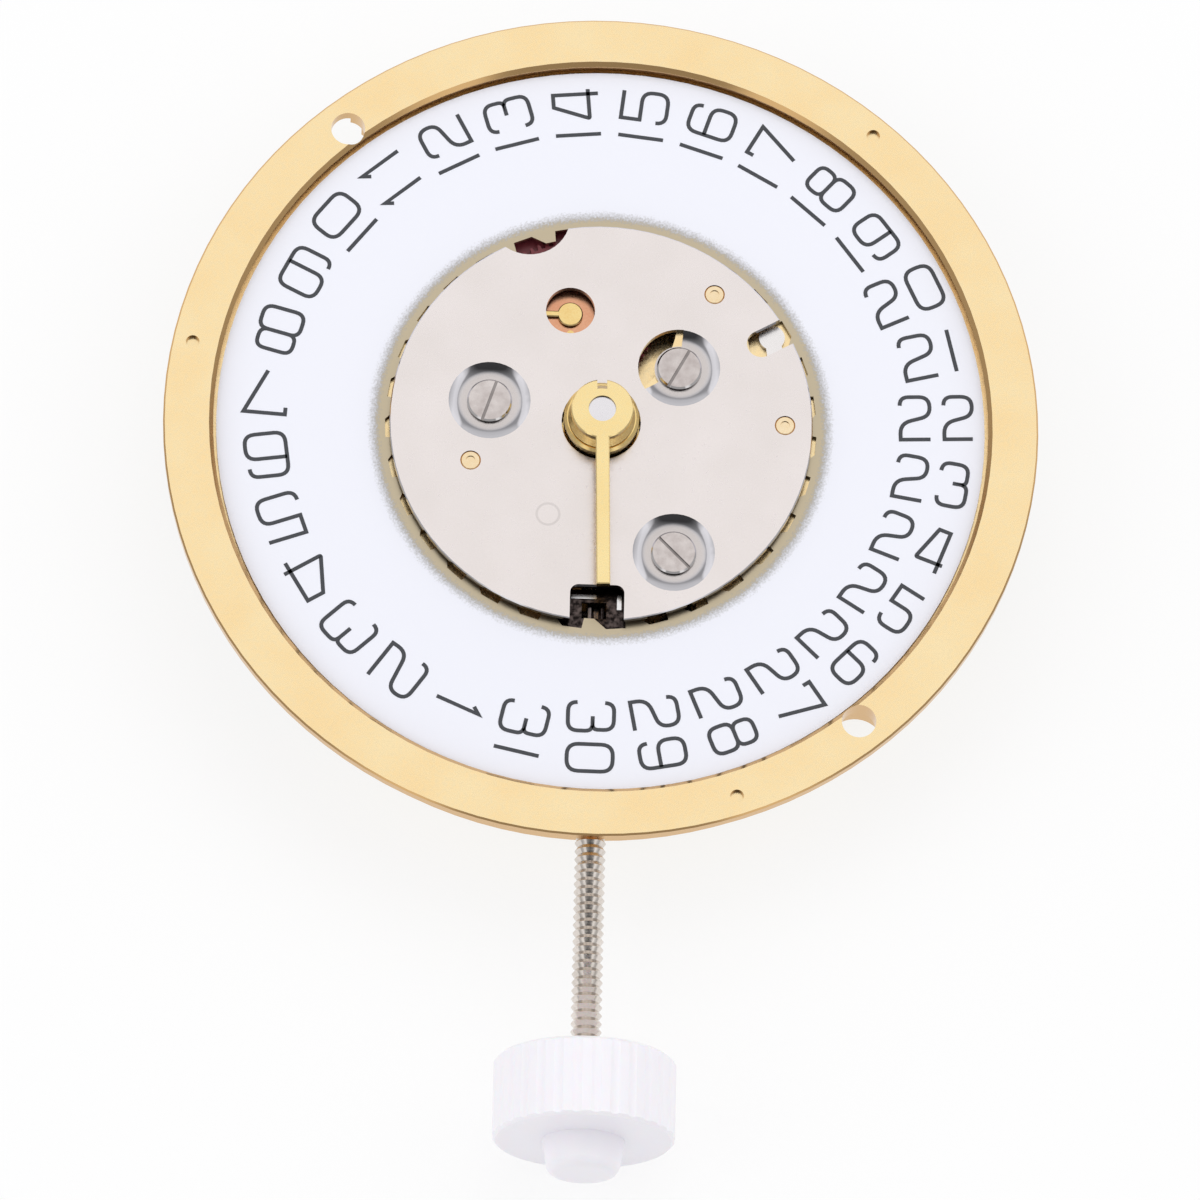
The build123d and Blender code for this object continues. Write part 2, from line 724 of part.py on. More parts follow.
# Cover: a nickel disc over the motion works, whose rim keeps the date ring down
with BuildPart() as date_ring_cover:
    with BuildSketch(Plane.XY.offset(cover_under)):
        Circle(cover_radius)
    extrude(amount=cover_height)
    chamfer(date_ring_cover.edges().group_by(Axis.Z)[-1], cover_bevel)
    with BuildSketch(Plane.XY.offset(cover_under)):
        Circle(cover_centre_radius)
        with Locations(date_place):
            Circle(post_window_radius)
        with Locations(*pin_places):
            Circle(pin_radius)
        with Locations(*[(x, y) for x, y, turn in screw_places]):
            Circle(screw_shank_radius)
        with Locations((0, stem_window_length / 2 - cover_radius - stem_window_corner)):
            RectangleRounded(stem_window_width, stem_window_length + 2 * stem_window_corner,
                             stem_window_corner)
        link(polar(cover_radius - jumper_window_inset, jumper_window_angle),
             polar(cover_radius + overrun, jumper_window_angle), 2 * jumper_window_radius)
        with Locations(polar(cover_radius + scallop_stand_off, scallop_angle)):
            Circle(scallop_radius)
    extrude(amount=cover_height, mode=Mode.SUBTRACT)
    for x, y, turn in screw_places:
        with BuildSketch(Plane(origin=(x, y, 0), x_dir=(1, 0, 0), z_dir=(0, -1, 0))):
            with BuildLine():
                floor = Line((0, -dish_depth), (dish_floor_radius, -dish_depth))
                bowl = TangentArc(floor @ 1, (dish_radius, 0), tangent=floor % 1)
                Polyline(bowl @ 1, (0, 0), floor @ 0)
            make_face()
        revolve(axis=Axis((x, y, 0), (0, 0, 1)), mode=Mode.SUBTRACT)
    with BuildSketch(Plane.XY.offset(cover_under)):
        with BuildLine():
            arc_place = screw_places[1][:2]
            outer_arc = CenterArc(arc_place, arc_window_outer, arc_window_start, arc_window_sweep)
            inner_arc = CenterArc(arc_place, arc_window_inner, arc_window_start, arc_window_sweep)
            Line(outer_arc @ 0, inner_arc @ 0)
            Line(outer_arc @ 1, inner_arc @ 1)
        make_face()
    extrude(amount=cover_height, mode=Mode.SUBTRACT)
finish(date_ring_cover, "date_ring_cover")

# Three slotted screws in the cover's dishes
with BuildPart() as cover_screws:
    with BuildSketch(Plane.XY.offset(-dish_depth)):
        with Locations(*[(x, y) for x, y, turn in screw_places]):
            Circle(screw_head_radius)
    extrude(amount=screw_head_height)
    chamfer(cover_screws.edges().group_by(Axis.Z)[-1], screw_head_bevel)
    for x, y, turn in screw_places:
        with BuildSketch(Plane.XY.offset(-dish_depth + screw_head_height - screw_slot_depth)):
            with Locations(Location((x, y), turn)):
                Rectangle(2 * screw_head_radius, screw_slot_width)
        extrude(amount=screw_slot_depth, mode=Mode.SUBTRACT)
        with BuildSketch(Plane.XY.offset(-dish_depth - screw_shank_length)):
            with Locations((x, y)):
                Circle(screw_shank_radius)
        extrude(amount=screw_shank_length)
finish(cover_screws, "cover_screws")

# Three brass pins that locate the cover on the plate
with BuildPart() as guide_pins:
    for place in pin_places:
        with BuildSketch(Plane.XY.offset(-pin_depth)):
            with Locations(place):
                Circle(pin_radius)
        extrude(amount=pin_depth)
    chamfer(guide_pins.edges().group_by(Axis.Z)[-1], pin_bevel)
    with BuildSketch(Plane.XY.offset(-pin_dimple_depth)):
        with Locations(*pin_places):
            Circle(pin_dimple_radius)
    extrude(amount=pin_dimple_depth, mode=Mode.SUBTRACT)
finish(guide_pins, "guide_pins")

# Cannon pinion: steel leaves, a tube and the stepped end that the minute hand sits on
with BuildPart() as cannon_pinion:
    with BuildSketch(Plane.XY.offset(minute_gear_under)):
        Polygon(*gear_points(cannon_leaves, cannon_pitch_radius, cannon_phase), align=None)
    extrude(amount=minute_gear_height + layer_play)
    with BuildSketch(Plane.XY.offset(date_gear_under)):
        Circle(cannon_radius)
    extrude(amount=cannon_shoulder - date_gear_under)
    with BuildSketch(Plane.XY.offset(cannon_shoulder)):
        Circle(cannon_tip_radius)
    extrude(amount=cannon_tip_height - cannon_shoulder)
    with BuildSketch(Plane.XY.offset(minute_gear_under)):
        Circle(centre_arbor_radius)
    extrude(amount=cannon_bore_depth - minute_gear_under, mode=Mode.SUBTRACT)
finish(cannon_pinion, "cannon_pinion")

# Minute wheel with its pinion above
with BuildPart() as minute_wheel:
    with BuildSketch(Plane.XY.offset(minute_gear_under)):
        with Locations(minute_place):
            Polygon(*gear_points(minute_teeth, minute_pitch_radius, minute_phase), align=None)
    extrude(amount=minute_gear_height)
    with BuildSketch(Plane.XY.offset(minute_gear_under + minute_gear_height)):
        with Locations(minute_place):
            Polygon(*gear_points(minute_leaves, minute_leaf_radius, minute_phase), align=None)
    extrude(amount=layer_play + date_gear_height)
    with BuildSketch(Plane.XY.offset(minute_gear_under)):
        with Locations(minute_place):
            Circle(post_radius + pivot_play)
    extrude(amount=minute_gear_height + layer_play + date_gear_height, mode=Mode.SUBTRACT)
finish(minute_wheel, "minute_wheel")

# Hour wheel: one gear for the minute pinion and the date wheel, and the tube for the hour hand
with BuildPart() as hour_wheel:
    with BuildSketch(Plane.XY.offset(date_gear_under)):
        Polygon(*gear_points(hour_teeth, hour_pitch_radius, hour_phase), align=None)
    extrude(amount=date_gear_height)
    with BuildSketch(Plane.XY.offset(date_gear_under + date_gear_height)):
        Circle(hour_tube_radius)
    extrude(amount=-hour_head_start - date_gear_under - date_gear_height)
    with BuildSketch(Plane.XY.offset(-hour_head_start)):
        Circle(hour_head_radius)
    extrude(amount=hour_head_start + hour_top)
    chamfer(hour_wheel.edges().group_by(Axis.Z)[-1], hour_head_bevel)
    with BuildSketch(Plane.XY.offset(date_gear_under)):
        Circle(cannon_radius + pivot_play)
    extrude(amount=hour_top - date_gear_under, mode=Mode.SUBTRACT)
finish(hour_wheel, "hour_wheel")

# Setting wheel between the minute wheel and the sliding pinion
with BuildPart() as setting_wheel:
    with BuildSketch(Plane.XY.offset(minute_gear_under)):
        with Locations(setting_place):
            Polygon(*gear_points(setting_teeth, setting_pitch_radius, setting_phase), align=None)
            Circle(setting_post_radius + pivot_play, mode=Mode.SUBTRACT)
    extrude(amount=minute_gear_height)
finish(setting_wheel, "setting_wheel")

# Date driving wheel: red plastic, one turn a day, with a wide lobe below its teeth
date_gear_top = date_gear_under + date_gear_height
date_gear_root = date_pitch_radius - dedendum_share * motion_pitch
finger_under = ring_under + (ring_height - finger_height) / 2
finger_top = finger_under + finger_height
finger_pin_place = polar(finger_pin_distance, finger_pin_angle, date_place)
with BuildPart() as date_driving_wheel:
    with BuildSketch(Plane.XY.offset(date_rim_under)):
        with Locations(Location(date_place, date_rim_angle)):
            Circle(date_rim_radius)
            Rectangle(date_rim_radius, date_rim_width, align=(Align.MIN, Align.CENTER), mode=Mode.INTERSECT)
    extrude(amount=date_rim_height)
    with BuildSketch(Plane.XY.offset(date_rim_under)):
        with Locations(date_place):
            Circle(date_gear_root)
    extrude(amount=date_gear_under - date_rim_under)
    with BuildSketch(Plane.XY.offset(date_gear_under)):
        with Locations(date_place):
            Polygon(*gear_points(date_teeth, date_pitch_radius, date_phase), align=None)
    extrude(amount=date_gear_height)
    with BuildSketch(Plane.XY.offset(date_gear_top)):
        with Locations(date_place):
            Circle(finger_hub_radius)
    extrude(amount=finger_under - date_gear_top)
    with BuildSketch(Plane.XY.offset(date_rim_under)):
        with Locations(date_place):
            Circle(date_post_radius + date_bore_play)
        with Locations(finger_pin_place):
            Circle(finger_pin_radius)
    extrude(amount=finger_under - date_rim_under, mode=Mode.SUBTRACT)
finish(date_driving_wheel, "date_driving_wheel")

# Bronze finger that pushes the ring, a disc with an arm, and the brass pin that carries it round
with BuildPart() as date_finger:
    with BuildSketch(Plane.XY.offset(finger_under)):
        with Locations(Location(date_place, finger_angle)):
            Circle(finger_hub_radius)
            Polygon((0, -finger_root_width / 2), (finger_reach, -finger_tip_width / 2),
                    (finger_reach, finger_tip_width / 2), (0, finger_root_width / 2), align=None)
            Circle(date_post_radius + date_bore_play, mode=Mode.SUBTRACT)
        with Locations(finger_pin_place):
            Circle(finger_pin_radius, mode=Mode.SUBTRACT)
    extrude(amount=finger_height)
finish(date_finger, "date_finger")

with BuildPart() as date_finger_pin:
    with BuildSketch(Plane.XY.offset(date_rim_under)):
        with Locations(finger_pin_place):
            Circle(finger_pin_radius)
    extrude(amount=finger_top - date_rim_under)
finish(date_finger_pin, "date_finger_pin")

# Brass post of the date driving wheel, whose flat key head keeps wheel and finger down
date_head_under = finger_top + running_play
with BuildPart() as date_wheel_post:
    with BuildSketch(Plane.XY.offset(date_head_under)):
        with Locations(date_place):
            Circle(date_head_radius)
        link(date_place, (date_place[0] - date_key_reach, date_place[1]), date_key_width)
    extrude(amount=date_head_height)
    chamfer(date_wheel_post.edges().group_by(Axis.Z)[-1], date_head_bevel)
    with BuildSketch(Plane.XY.offset(date_floor)):
        with Locations(date_place):
            Circle(date_post_radius)
    extrude(amount=date_head_under - date_floor)
finish(date_wheel_post, "date_wheel_post")

# Date jumper: a nickel lever that turns a little on a guide pin, with its own thin spring tail
with BuildPart() as date_jumper:
    with BuildSketch(Plane.XY.offset(ring_under)):
        link(pin_places[1], jumper_head, jumper_arm_width)
        link(jumper_heel, jumper_head, jumper_arm_width)
        link(pin_places[1], jumper_tail_end, jumper_tail_width)
        with Locations(jumper_head):
            Circle(jumper_head_radius)
        with Locations(pin_places[1]):
            Circle(jumper_eye_radius)
            Circle(pin_radius + pivot_play, mode=Mode.SUBTRACT)
    extrude(amount=ring_height)
finish(date_jumper, "date_jumper")

# Date corrector wheel, in reach of the ring's teeth
with BuildPart() as date_corrector_wheel:
    with BuildSketch(Plane.XY.offset(ring_under)):
        with Locations(corrector_place):
            Polygon(*gear_points(corrector_teeth, corrector_radius), align=None)
            Circle(corrector_bore_radius, mode=Mode.SUBTRACT)
    extrude(amount=ring_height)
finish(date_corrector_wheel, "date_corrector_wheel")

# Steel posts pressed into the plate for the small wheels of the dial side
setting_post_top = minute_gear_under + minute_gear_height + layer_play
with BuildPart() as wheel_posts:
    for place, radius, floor, top in (
            (minute_place, post_radius, motion_floor, date_gear_top),
            (setting_place, setting_post_radius, motion_floor, setting_post_top),
            (corrector_place, post_radius, ring_seat, ring_top + post_head_height)):
        with BuildSketch(Plane.XY.offset(floor - post_depth)):
            with Locations(place):
                Circle(radius)
        extrude(amount=top - floor + post_depth)
finish(wheel_posts, "wheel_posts")

# Yoke: a slotted nickel slide whose tongue runs in the groove of the sliding pinion
with BuildPart() as yoke:
    with BuildSketch(Plane.XY.offset(yoke_under)):
        with Locations(((yoke_tongue_end + yoke_body_x) / 2, -clutch_groove_place)):
            Rectangle(yoke_body_x - yoke_tongue_end, yoke_tongue_width)
        with Locations((yoke_body_x, yoke_middle - clutch_travel / 2)):
            RectangleRounded(yoke_body_width, yoke_body_length, yoke_tongue_width / 2)
    extrude(amount=yoke_height)
    with BuildSketch(Plane.XY.offset(yoke_under)):
        for x, y in yoke_posts:
            link((x, y - clutch_travel), (x, y), 2 * (yoke_post_radius + running_play))
    extrude(amount=yoke_height, mode=Mode.SUBTRACT)
finish(yoke, "yoke")

# Headed posts that guide the yoke, and the stepped posts of the setting lever and spring plate
yoke_top = yoke_under + yoke_height
with BuildPart() as keyless_posts:
    for place in yoke_posts:
        with BuildSketch(Plane.XY.offset(keyless_floor - post_depth)):
            with Locations(place):
                Circle(yoke_post_radius)
        extrude(amount=yoke_top + running_play - keyless_floor + post_depth)
        with BuildSketch(Plane.XY.offset(yoke_top + running_play)):
            with Locations(place):
                Circle(post_head_radius)
        extrude(amount=post_head_height)
    with BuildSketch(Plane.XY.offset(keyless_floor - post_depth)):
        with Locations(lever_place):
            Circle(lever_post_radius)
    extrude(amount=-spring_plate_sink - keyless_floor + post_depth)
    with BuildSketch(Plane.XY.offset(yoke_top + running_play)):
        with Locations(lever_place):
            Circle(lever_post_shoulder_radius)
    extrude(amount=ledge - yoke_top - running_play)
    with BuildSketch(Plane.XY.offset(ledge - post_depth)):
        with Locations(spring_plate_end):
            Circle(lever_post_radius)
    extrude(amount=spring_plate_height + post_depth)
finish(keyless_posts, "keyless_posts")

# Setting lever: its pin drops into the stem's groove, a second pin stands up for the spring
lever_pin_place = (0, lever_place[1] + pull_travel / 2)
lever_tail_place = polar(lever_tail, lever_tail_angle, lever_place)
with BuildPart() as setting_lever:
    with BuildSketch(Plane.XY.offset(yoke_under)):
        link(lever_place, lever_pin_place, lever_width)
        link(lever_place, lever_tail_place, lever_tail_width)
        with Locations(lever_place):
            Circle(lever_eye_radius)
            Circle(lever_post_radius + pivot_play, mode=Mode.SUBTRACT)
    extrude(amount=yoke_height)
    with BuildSketch(Plane.XY.offset(yoke_under - lever_pin_depth)):
        with Locations(lever_pin_place):
            Circle(lever_pin_radius)
    extrude(amount=lever_pin_depth)
    with BuildSketch(Plane.XY.offset(yoke_top)):
        with Locations(lever_tail_place):
            Circle(lever_tail_pin_radius)
    extrude(amount=-spring_plate_sink - yoke_top)
finish(setting_lever, "setting_lever")

# Spring plate over the keyless works, with the thin arm that holds the lever in its places
with BuildPart() as setting_lever_spring:
    with BuildSketch(Plane.XY.offset(ledge)):
        link(lever_place, spring_plate_end, spring_plate_width)
        arm_points = [polar(spring_arm_radius, angle, lever_place)
                      for angle in (spring_arm_start, spring_arm_middle, spring_arm_end)]
        link(arm_points[0], arm_points[1], spring_arm_width)
        link(arm_points[1], arm_points[2], spring_arm_width)
        link(arm_points[2], lever_place, spring_arm_width)
        with Locations(lever_place, spring_plate_end):
            Circle(lever_post_radius, mode=Mode.SUBTRACT)
    extrude(amount=spring_plate_height)
finish(setting_lever_spring, "setting_lever_spring")

# Steel cover plate over the sliding pinion, with a window and two raised ribs
with BuildPart() as keyless_cover:
    with BuildSketch(Plane.XY.offset(ledge)):
        with Locations(keyless_cover_place):
            Rectangle(keyless_cover_width, keyless_cover_length)
        with Locations((keyless_window_x, -keyless_window_start - keyless_window_length / 2)):
            Rectangle(keyless_window_width, keyless_window_length, mode=Mode.SUBTRACT)
    extrude(amount=spring_plate_height)
    with BuildSketch(Plane.XY.offset(-spring_plate_sink)):
        with Locations((-keyless_cross_rib_length / 2, -keyless_cover_start - keyless_rib_gap)):
            Rectangle(keyless_cross_rib_length, keyless_rib_width, align=(Align.CENTER, Align.MAX))
        with Locations((keyless_side_rib_x, -keyless_cover_start - keyless_rib_gap)):
            Rectangle(keyless_rib_width, keyless_side_rib_length, align=(Align.CENTER, Align.MAX))
    extrude(amount=keyless_rib_height)
finish(keyless_cover, "keyless_cover")

# Sliding pinion on the stem's square: leaves, a groove for the yoke and face teeth at its inner end
clutch_pitch_radius = clutch_radius / (1 + 2 * addendum_share / clutch_leaves)
groove_start = clutch_groove_place - clutch_groove_width / 2
groove_end = clutch_groove_place + clutch_groove_width / 2
with BuildPart() as sliding_pinion:
    with BuildSketch(Plane.XZ.offset(clutch_start)):
        with Locations((0, stem_z)):
            Polygon(*gear_points(clutch_leaves, clutch_pitch_radius), align=None)
    extrude(amount=clutch_leaf_length)
    for start, end, radius in ((clutch_start + clutch_leaf_length, groove_start, clutch_radius),
                               (groove_start, groove_end, clutch_groove_radius),
                               (groove_end, clutch_start + clutch_length, clutch_radius)):
        with BuildSketch(Plane.XZ.offset(start)):
            with Locations((0, stem_z)):
                Circle(radius)
        extrude(amount=end - start)
    with BuildSketch(Plane.XZ.offset(clutch_start)):
        with Locations((0, stem_z)):
            with PolarLocations(clutch_radius, clutch_face_teeth):
                Rectangle(2 * (clutch_radius - clutch_face_inner), clutch_face_depth)
    extrude(amount=clutch_face_depth, mode=Mode.SUBTRACT)
    with BuildSketch(Plane.XZ.offset(clutch_start)):
        with Locations((0, stem_z)):
            Rectangle(stem_square_side + pivot_play, stem_square_side + pivot_play)
    extrude(amount=clutch_length, mode=Mode.SUBTRACT)
finish(sliding_pinion, "sliding_pinion")

# Stem: pivot, square, bearing with the lever's groove, and the long threaded tail
stem_groove_start = stem_groove_place - stem_groove_width / 2
stem_groove_end = stem_groove_place + stem_groove_width / 2
thread_turns = round((thread_end - thread_start) / thread_pitch)
thread_radii = ((0, thread_root_radius), (0.5, thread_radius))
thread_flanks = [(-thread_start - (turn + share) * thread_pitch, stem_z + radius)
                 for turn in range(thread_turns) for share, radius in thread_radii]
thread_tail = (thread_flanks[-1][0] - thread_pitch / 2, stem_z)
with BuildPart() as stem:
    for start, end, radius in (
            (stem_pivot_start, stem_square_start, stem_pivot_radius),
            (stem_square_end, stem_groove_start, stem_bearing_radius),
            (stem_groove_start, stem_groove_end, stem_groove_radius),
            (stem_groove_end, thread_start, stem_bearing_radius)):
        with BuildSketch(Plane.XZ.offset(start)):
            with Locations((0, stem_z)):
                Circle(radius)
        extrude(amount=end - start)
    with BuildSketch(Plane.XZ.offset(stem_square_start)):
        with Locations((0, stem_z)):
            Rectangle(stem_square_side, stem_square_side)
    extrude(amount=stem_square_end - stem_square_start)
    with BuildSketch(Plane.YZ):
        Polygon((-thread_start, stem_z), *thread_flanks, thread_tail, align=None)
    revolve(axis=Axis((0, 0, stem_z), (0, 1, 0)))
finish(stem, "stem")

# Crown: moulded white plastic with shallow flutes and a short tapered stub
with BuildPart() as crown:
    with BuildSketch(Plane.XZ.offset(crown_start)):
        with Locations((0, stem_z)):
            Circle(crown_radius)
    extrude(amount=crown_length)
    chamfer(crown.edges().filter_by(GeomType.CIRCLE), crown_bevel)
    with BuildSketch(Plane.XZ.offset(crown_start)):
        with Locations((0, stem_z)):
            with PolarLocations(crown_radius + crown_flute_radius - crown_flute_depth, crown_flutes):
                Circle(crown_flute_radius)
    extrude(amount=crown_length, mode=Mode.SUBTRACT)
    with BuildSketch(Plane.XZ.offset(crown_start + crown_length)):
        with Locations((0, stem_z)):
            Circle(stub_radius)
    with BuildSketch(Plane.XZ.offset(crown_start + crown_length + stub_length)):
        with Locations((0, stem_z)):
            Circle(stub_end_radius)
    loft()
    fillet(crown.edges().group_by(Axis.Y)[0], stub_round)
    with BuildSketch(Plane.XZ.offset(crown_start)):
        with Locations((0, stem_z)):
            Circle(thread_radius)
    extrude(amount=thread_end - crown_start, mode=Mode.SUBTRACT)
finish(crown, "crown")


def spoked_wheel(place, teeth, pitch_radius, phase):
    """A wheel with four spokes, in the sketch that is open."""
    module = 2 * pitch_radius / teeth
    rim_inner = pitch_radius - dedendum_share * module - wheel_rim_width
    with Locations(place):
        Polygon(*gear_points(teeth, pitch_radius, phase), align=None)
        Circle(rim_inner, mode=Mode.SUBTRACT)
        Circle(wheel_hub_radius)
        with PolarLocations(rim_inner / 2, wheel_spokes, phase):
            Rectangle(rim_inner + wheel_rim_width / 2, wheel_spoke_width)


def turned_length(place, radius, under, top):
    """A round length of an arbor, in the part that is open."""
    with BuildSketch(Plane.XY.offset(under)) as section:
        with Locations(place):
            Circle(radius)
    extrude(section.sketch, amount=top - under)


arbor_under = plate_back + running_play
arbor_top = web_under - running_play
pivot_under = bridge_back + pivot_play
pivot_top = web_under + post_depth - pivot_play

# Centre wheel: carries the cannon pinion on its long arbor and turns once an hour
with BuildPart() as centre_wheel:
    with BuildSketch(Plane.XY.offset(centre_gear_under)):
        spoked_wheel((0, 0), centre_teeth, centre_pitch_radius, 0)
    extrude(amount=wheel_height)
    turned_length((0, 0), centre_arbor_radius, arbor_under, cannon_bore_depth - layer_play)
    turned_length((0, 0), pivot_radius, pivot_under, arbor_under)
finish(centre_wheel, "centre_wheel")

# Third wheel and its pinion, in mesh with the centre wheel
with BuildPart() as third_wheel:
    with BuildSketch(Plane.XY.offset(third_gear_under)):
        spoked_wheel(third_place, third_teeth, third_pitch_radius, 0)
    extrude(amount=wheel_height)
    with BuildSketch(Plane.XY.offset(third_gear_under + wheel_height)):
        with Locations(third_place):
            Polygon(*gear_points(third_leaves, third_leaf_radius, third_leaf_phase), align=None)
    extrude(amount=arbor_top - third_gear_under - wheel_height)
    turned_length(third_place, arbor_radius, arbor_under, arbor_top)
    turned_length(third_place, pivot_radius, pivot_under, pivot_top)
finish(third_wheel, "third_wheel")

# Intermediate wheel: its pinion drives the third wheel and the rotor drives its rim
with BuildPart() as intermediate_wheel:
    with BuildSketch(Plane.XY.offset(intermediate_gear_under)):
        spoked_wheel(intermediate_place, intermediate_teeth, intermediate_pitch_radius, 0)
    extrude(amount=wheel_height)
    with BuildSketch(Plane.XY.offset(intermediate_gear_under + wheel_height)):
        with Locations(intermediate_place):
            leaf_points = gear_points(intermediate_leaves, intermediate_leaf_radius, intermediate_leaf_phase)
            Polygon(*leaf_points, align=None)
    extrude(amount=third_gear_under + wheel_height + layer_play - intermediate_gear_under - wheel_height)
    turned_length(intermediate_place, arbor_radius, arbor_under, arbor_top)
    turned_length(intermediate_place, pivot_radius, pivot_under, pivot_top)
finish(intermediate_wheel, "intermediate_wheel")

# Rotor: a small ring magnet on a steel arbor with leaves
with BuildPart() as rotor_pinion:
    with BuildSketch(Plane.XY.offset(intermediate_gear_under - pivot_play)):
        with Locations(rotor_place):
            Polygon(*gear_points(rotor_leaves, rotor_leaf_radius, rotor_phase), align=None)
    extrude(amount=wheel_height + 2 * pivot_play)
    turned_length(rotor_place, arbor_radius, arbor_under, arbor_top)
    turned_length(rotor_place, pivot_radius, pivot_under, pivot_top)
finish(rotor_pinion, "rotor_pinion")

with BuildPart() as rotor_magnet:
    with BuildSketch(Plane.XY.offset(-magnet_drop - magnet_height)):
        with Locations(rotor_place):
            Circle(magnet_radius)
            Circle(arbor_radius, mode=Mode.SUBTRACT)
    extrude(amount=magnet_height)
finish(rotor_magnet, "rotor_magnet")

# Stator: a soft-iron strip from both ends of the coil core round the rotor
stator_under = -stator_drop - stator_height
with BuildPart() as stator:
    with BuildSketch(Plane.XY.offset(stator_under)):
        with Locations(rotor_place):
            Circle(stator_ring_radius)
        for elbow, core_end in zip(stator_elbows, core_ends):
            link(rotor_place, elbow, stator_arm_width)
            link(elbow, core_end, stator_arm_width)
        with Locations(*core_ends):
            Circle(core_end_radius)
            Circle(core_screw_shank_radius, mode=Mode.SUBTRACT)
        with Locations(rotor_place):
            Circle(stator_bore_radius, mode=Mode.SUBTRACT)
            with PolarLocations(stator_bore_radius, 2, rotor_direction):
                Circle(stator_notch_radius, mode=Mode.SUBTRACT)
    extrude(amount=stator_height)
finish(stator, "stator")

# Coil core: a soft-iron bar screwed under the stator's ends
core_under = stator_under - core_height
with BuildPart() as coil_core:
    with BuildSketch(Plane.XY.offset(core_under)):
        link(*core_ends, core_width)
        with Locations(*core_ends):
            Circle(core_end_radius)
            Circle(core_screw_shank_radius, mode=Mode.SUBTRACT)
    extrude(amount=core_height)
finish(coil_core, "coil_core")

# Bobbin and copper winding round the core
coil_half = coil_length / 2
bobbin_start = -coil_place[1] - coil_half - coil_flange_height
sleeve_inner = (core_width + 2 * pivot_play, core_height + 2 * pivot_play)
sleeve_outer = (sleeve_inner[0] + bobbin_wall, sleeve_inner[1] + bobbin_wall)
with BuildPart() as coil_bobbin:
    for start, shape_length, flange in (
            (bobbin_start, coil_flange_height, True),
            (bobbin_start + coil_flange_height, coil_length, False),
            (bobbin_start + coil_flange_height + coil_length, coil_flange_height, True)):
        with BuildSketch(Plane.XZ.offset(start)):
            with Locations((coil_place[0], -coil_drop)):
                if flange:
                    Circle(coil_flange_radius)
                else:
                    Rectangle(*sleeve_outer)
                Rectangle(*sleeve_inner, mode=Mode.SUBTRACT)
        extrude(amount=shape_length)
finish(coil_bobbin, "coil_bobbin")

with BuildPart() as coil_winding:
    with BuildSketch(Plane.XZ.offset(bobbin_start + coil_flange_height)):
        with Locations((coil_place[0], -coil_drop)):
            Circle(coil_radius)
            Rectangle(*sleeve_outer, mode=Mode.SUBTRACT)
    extrude(amount=coil_length)
finish(coil_winding, "coil_winding")


def slotted_screw(place, turn, head_under, head_radius, head_height, shank_radius, shank_length):
    """A cheese-head screw driven in from the back, in the part that is open."""
    turned_length(place, head_radius, head_under, head_under + head_height)
    with BuildSketch(Plane.XY.offset(head_under)) as slot:
        with Locations(Location(place, turn)):
            Rectangle(2 * head_radius, screw_slot_width)
    extrude(slot.sketch, amount=screw_slot_depth, mode=Mode.SUBTRACT)
    turned_length(place, shank_radius, head_under + head_height, head_under + head_height + shank_length)


core_screw_turns = (20, 75)
with BuildPart() as core_screws:
    for place, turn in zip(core_ends, core_screw_turns):
        slotted_screw(place, turn, core_under - bridge_screw_head_height, core_screw_head_radius,
                      bridge_screw_head_height, core_screw_shank_radius,
                      core_screw_depth + stator_height + core_height)
finish(core_screws, "core_screws")

# Battery: steel can with the narrower negative cap towards the dial
battery_shoulder = battery_back + battery_height - battery_cap_height
with BuildPart() as battery_can:
    with BuildSketch(Plane.XY.offset(battery_back)):
        with Locations(battery_place):
            Circle(battery_radius)
    extrude(amount=battery_height - battery_cap_height)
    fillet(battery_can.edges().filter_by(GeomType.CIRCLE), battery_edge)
finish(battery_can, "battery_can")

with BuildPart() as battery_cap:
    with BuildSketch(Plane.XY.offset(battery_shoulder)):
        with Locations(battery_place):
            Circle(battery_cap_radius)
    extrude(amount=battery_cap_height)
    chamfer(battery_cap.edges().group_by(Axis.Z)[-1], battery_edge / 2)
finish(battery_cap, "battery_cap")

# Plastic sleeve that keeps the can off the plate
with BuildPart() as battery_sleeve:
    with BuildSketch(Plane.XY.offset(plate_back)):
        with Locations(battery_place):
            Circle(battery_radius + sleeve_gap + sleeve_wall)
            Circle(battery_radius + sleeve_gap, mode=Mode.SUBTRACT)
    extrude(amount=battery_shoulder - plate_back)
finish(battery_sleeve, "battery_sleeve")

# Negative contact: a blade under the cap, up through its slot and folded onto the board
contact_leg = cavity_radius + contact_wall
contact_inside = contact_leg - contact_wall / 2
contact_outside = contact_leg + contact_wall / 2
contact_back = board_back - contact_height
with BuildPart() as negative_contact:
    for inner, outer, under, top in (
            (contact_inner, contact_outside, -battery_ceiling - contact_height, -battery_ceiling),
            (contact_inside, contact_outside, contact_back, -battery_ceiling),
            (contact_inside, contact_leg + contact_tab, contact_back, board_back)):
        with BuildSketch(Plane.XY.offset(under)):
            with Locations(Location(battery_place, contact_angle)):
                with Locations(((inner + outer) / 2, 0)):
                    Rectangle(outer - inner, contact_width)
        extrude(amount=top - under)
finish(negative_contact, "negative_contact")

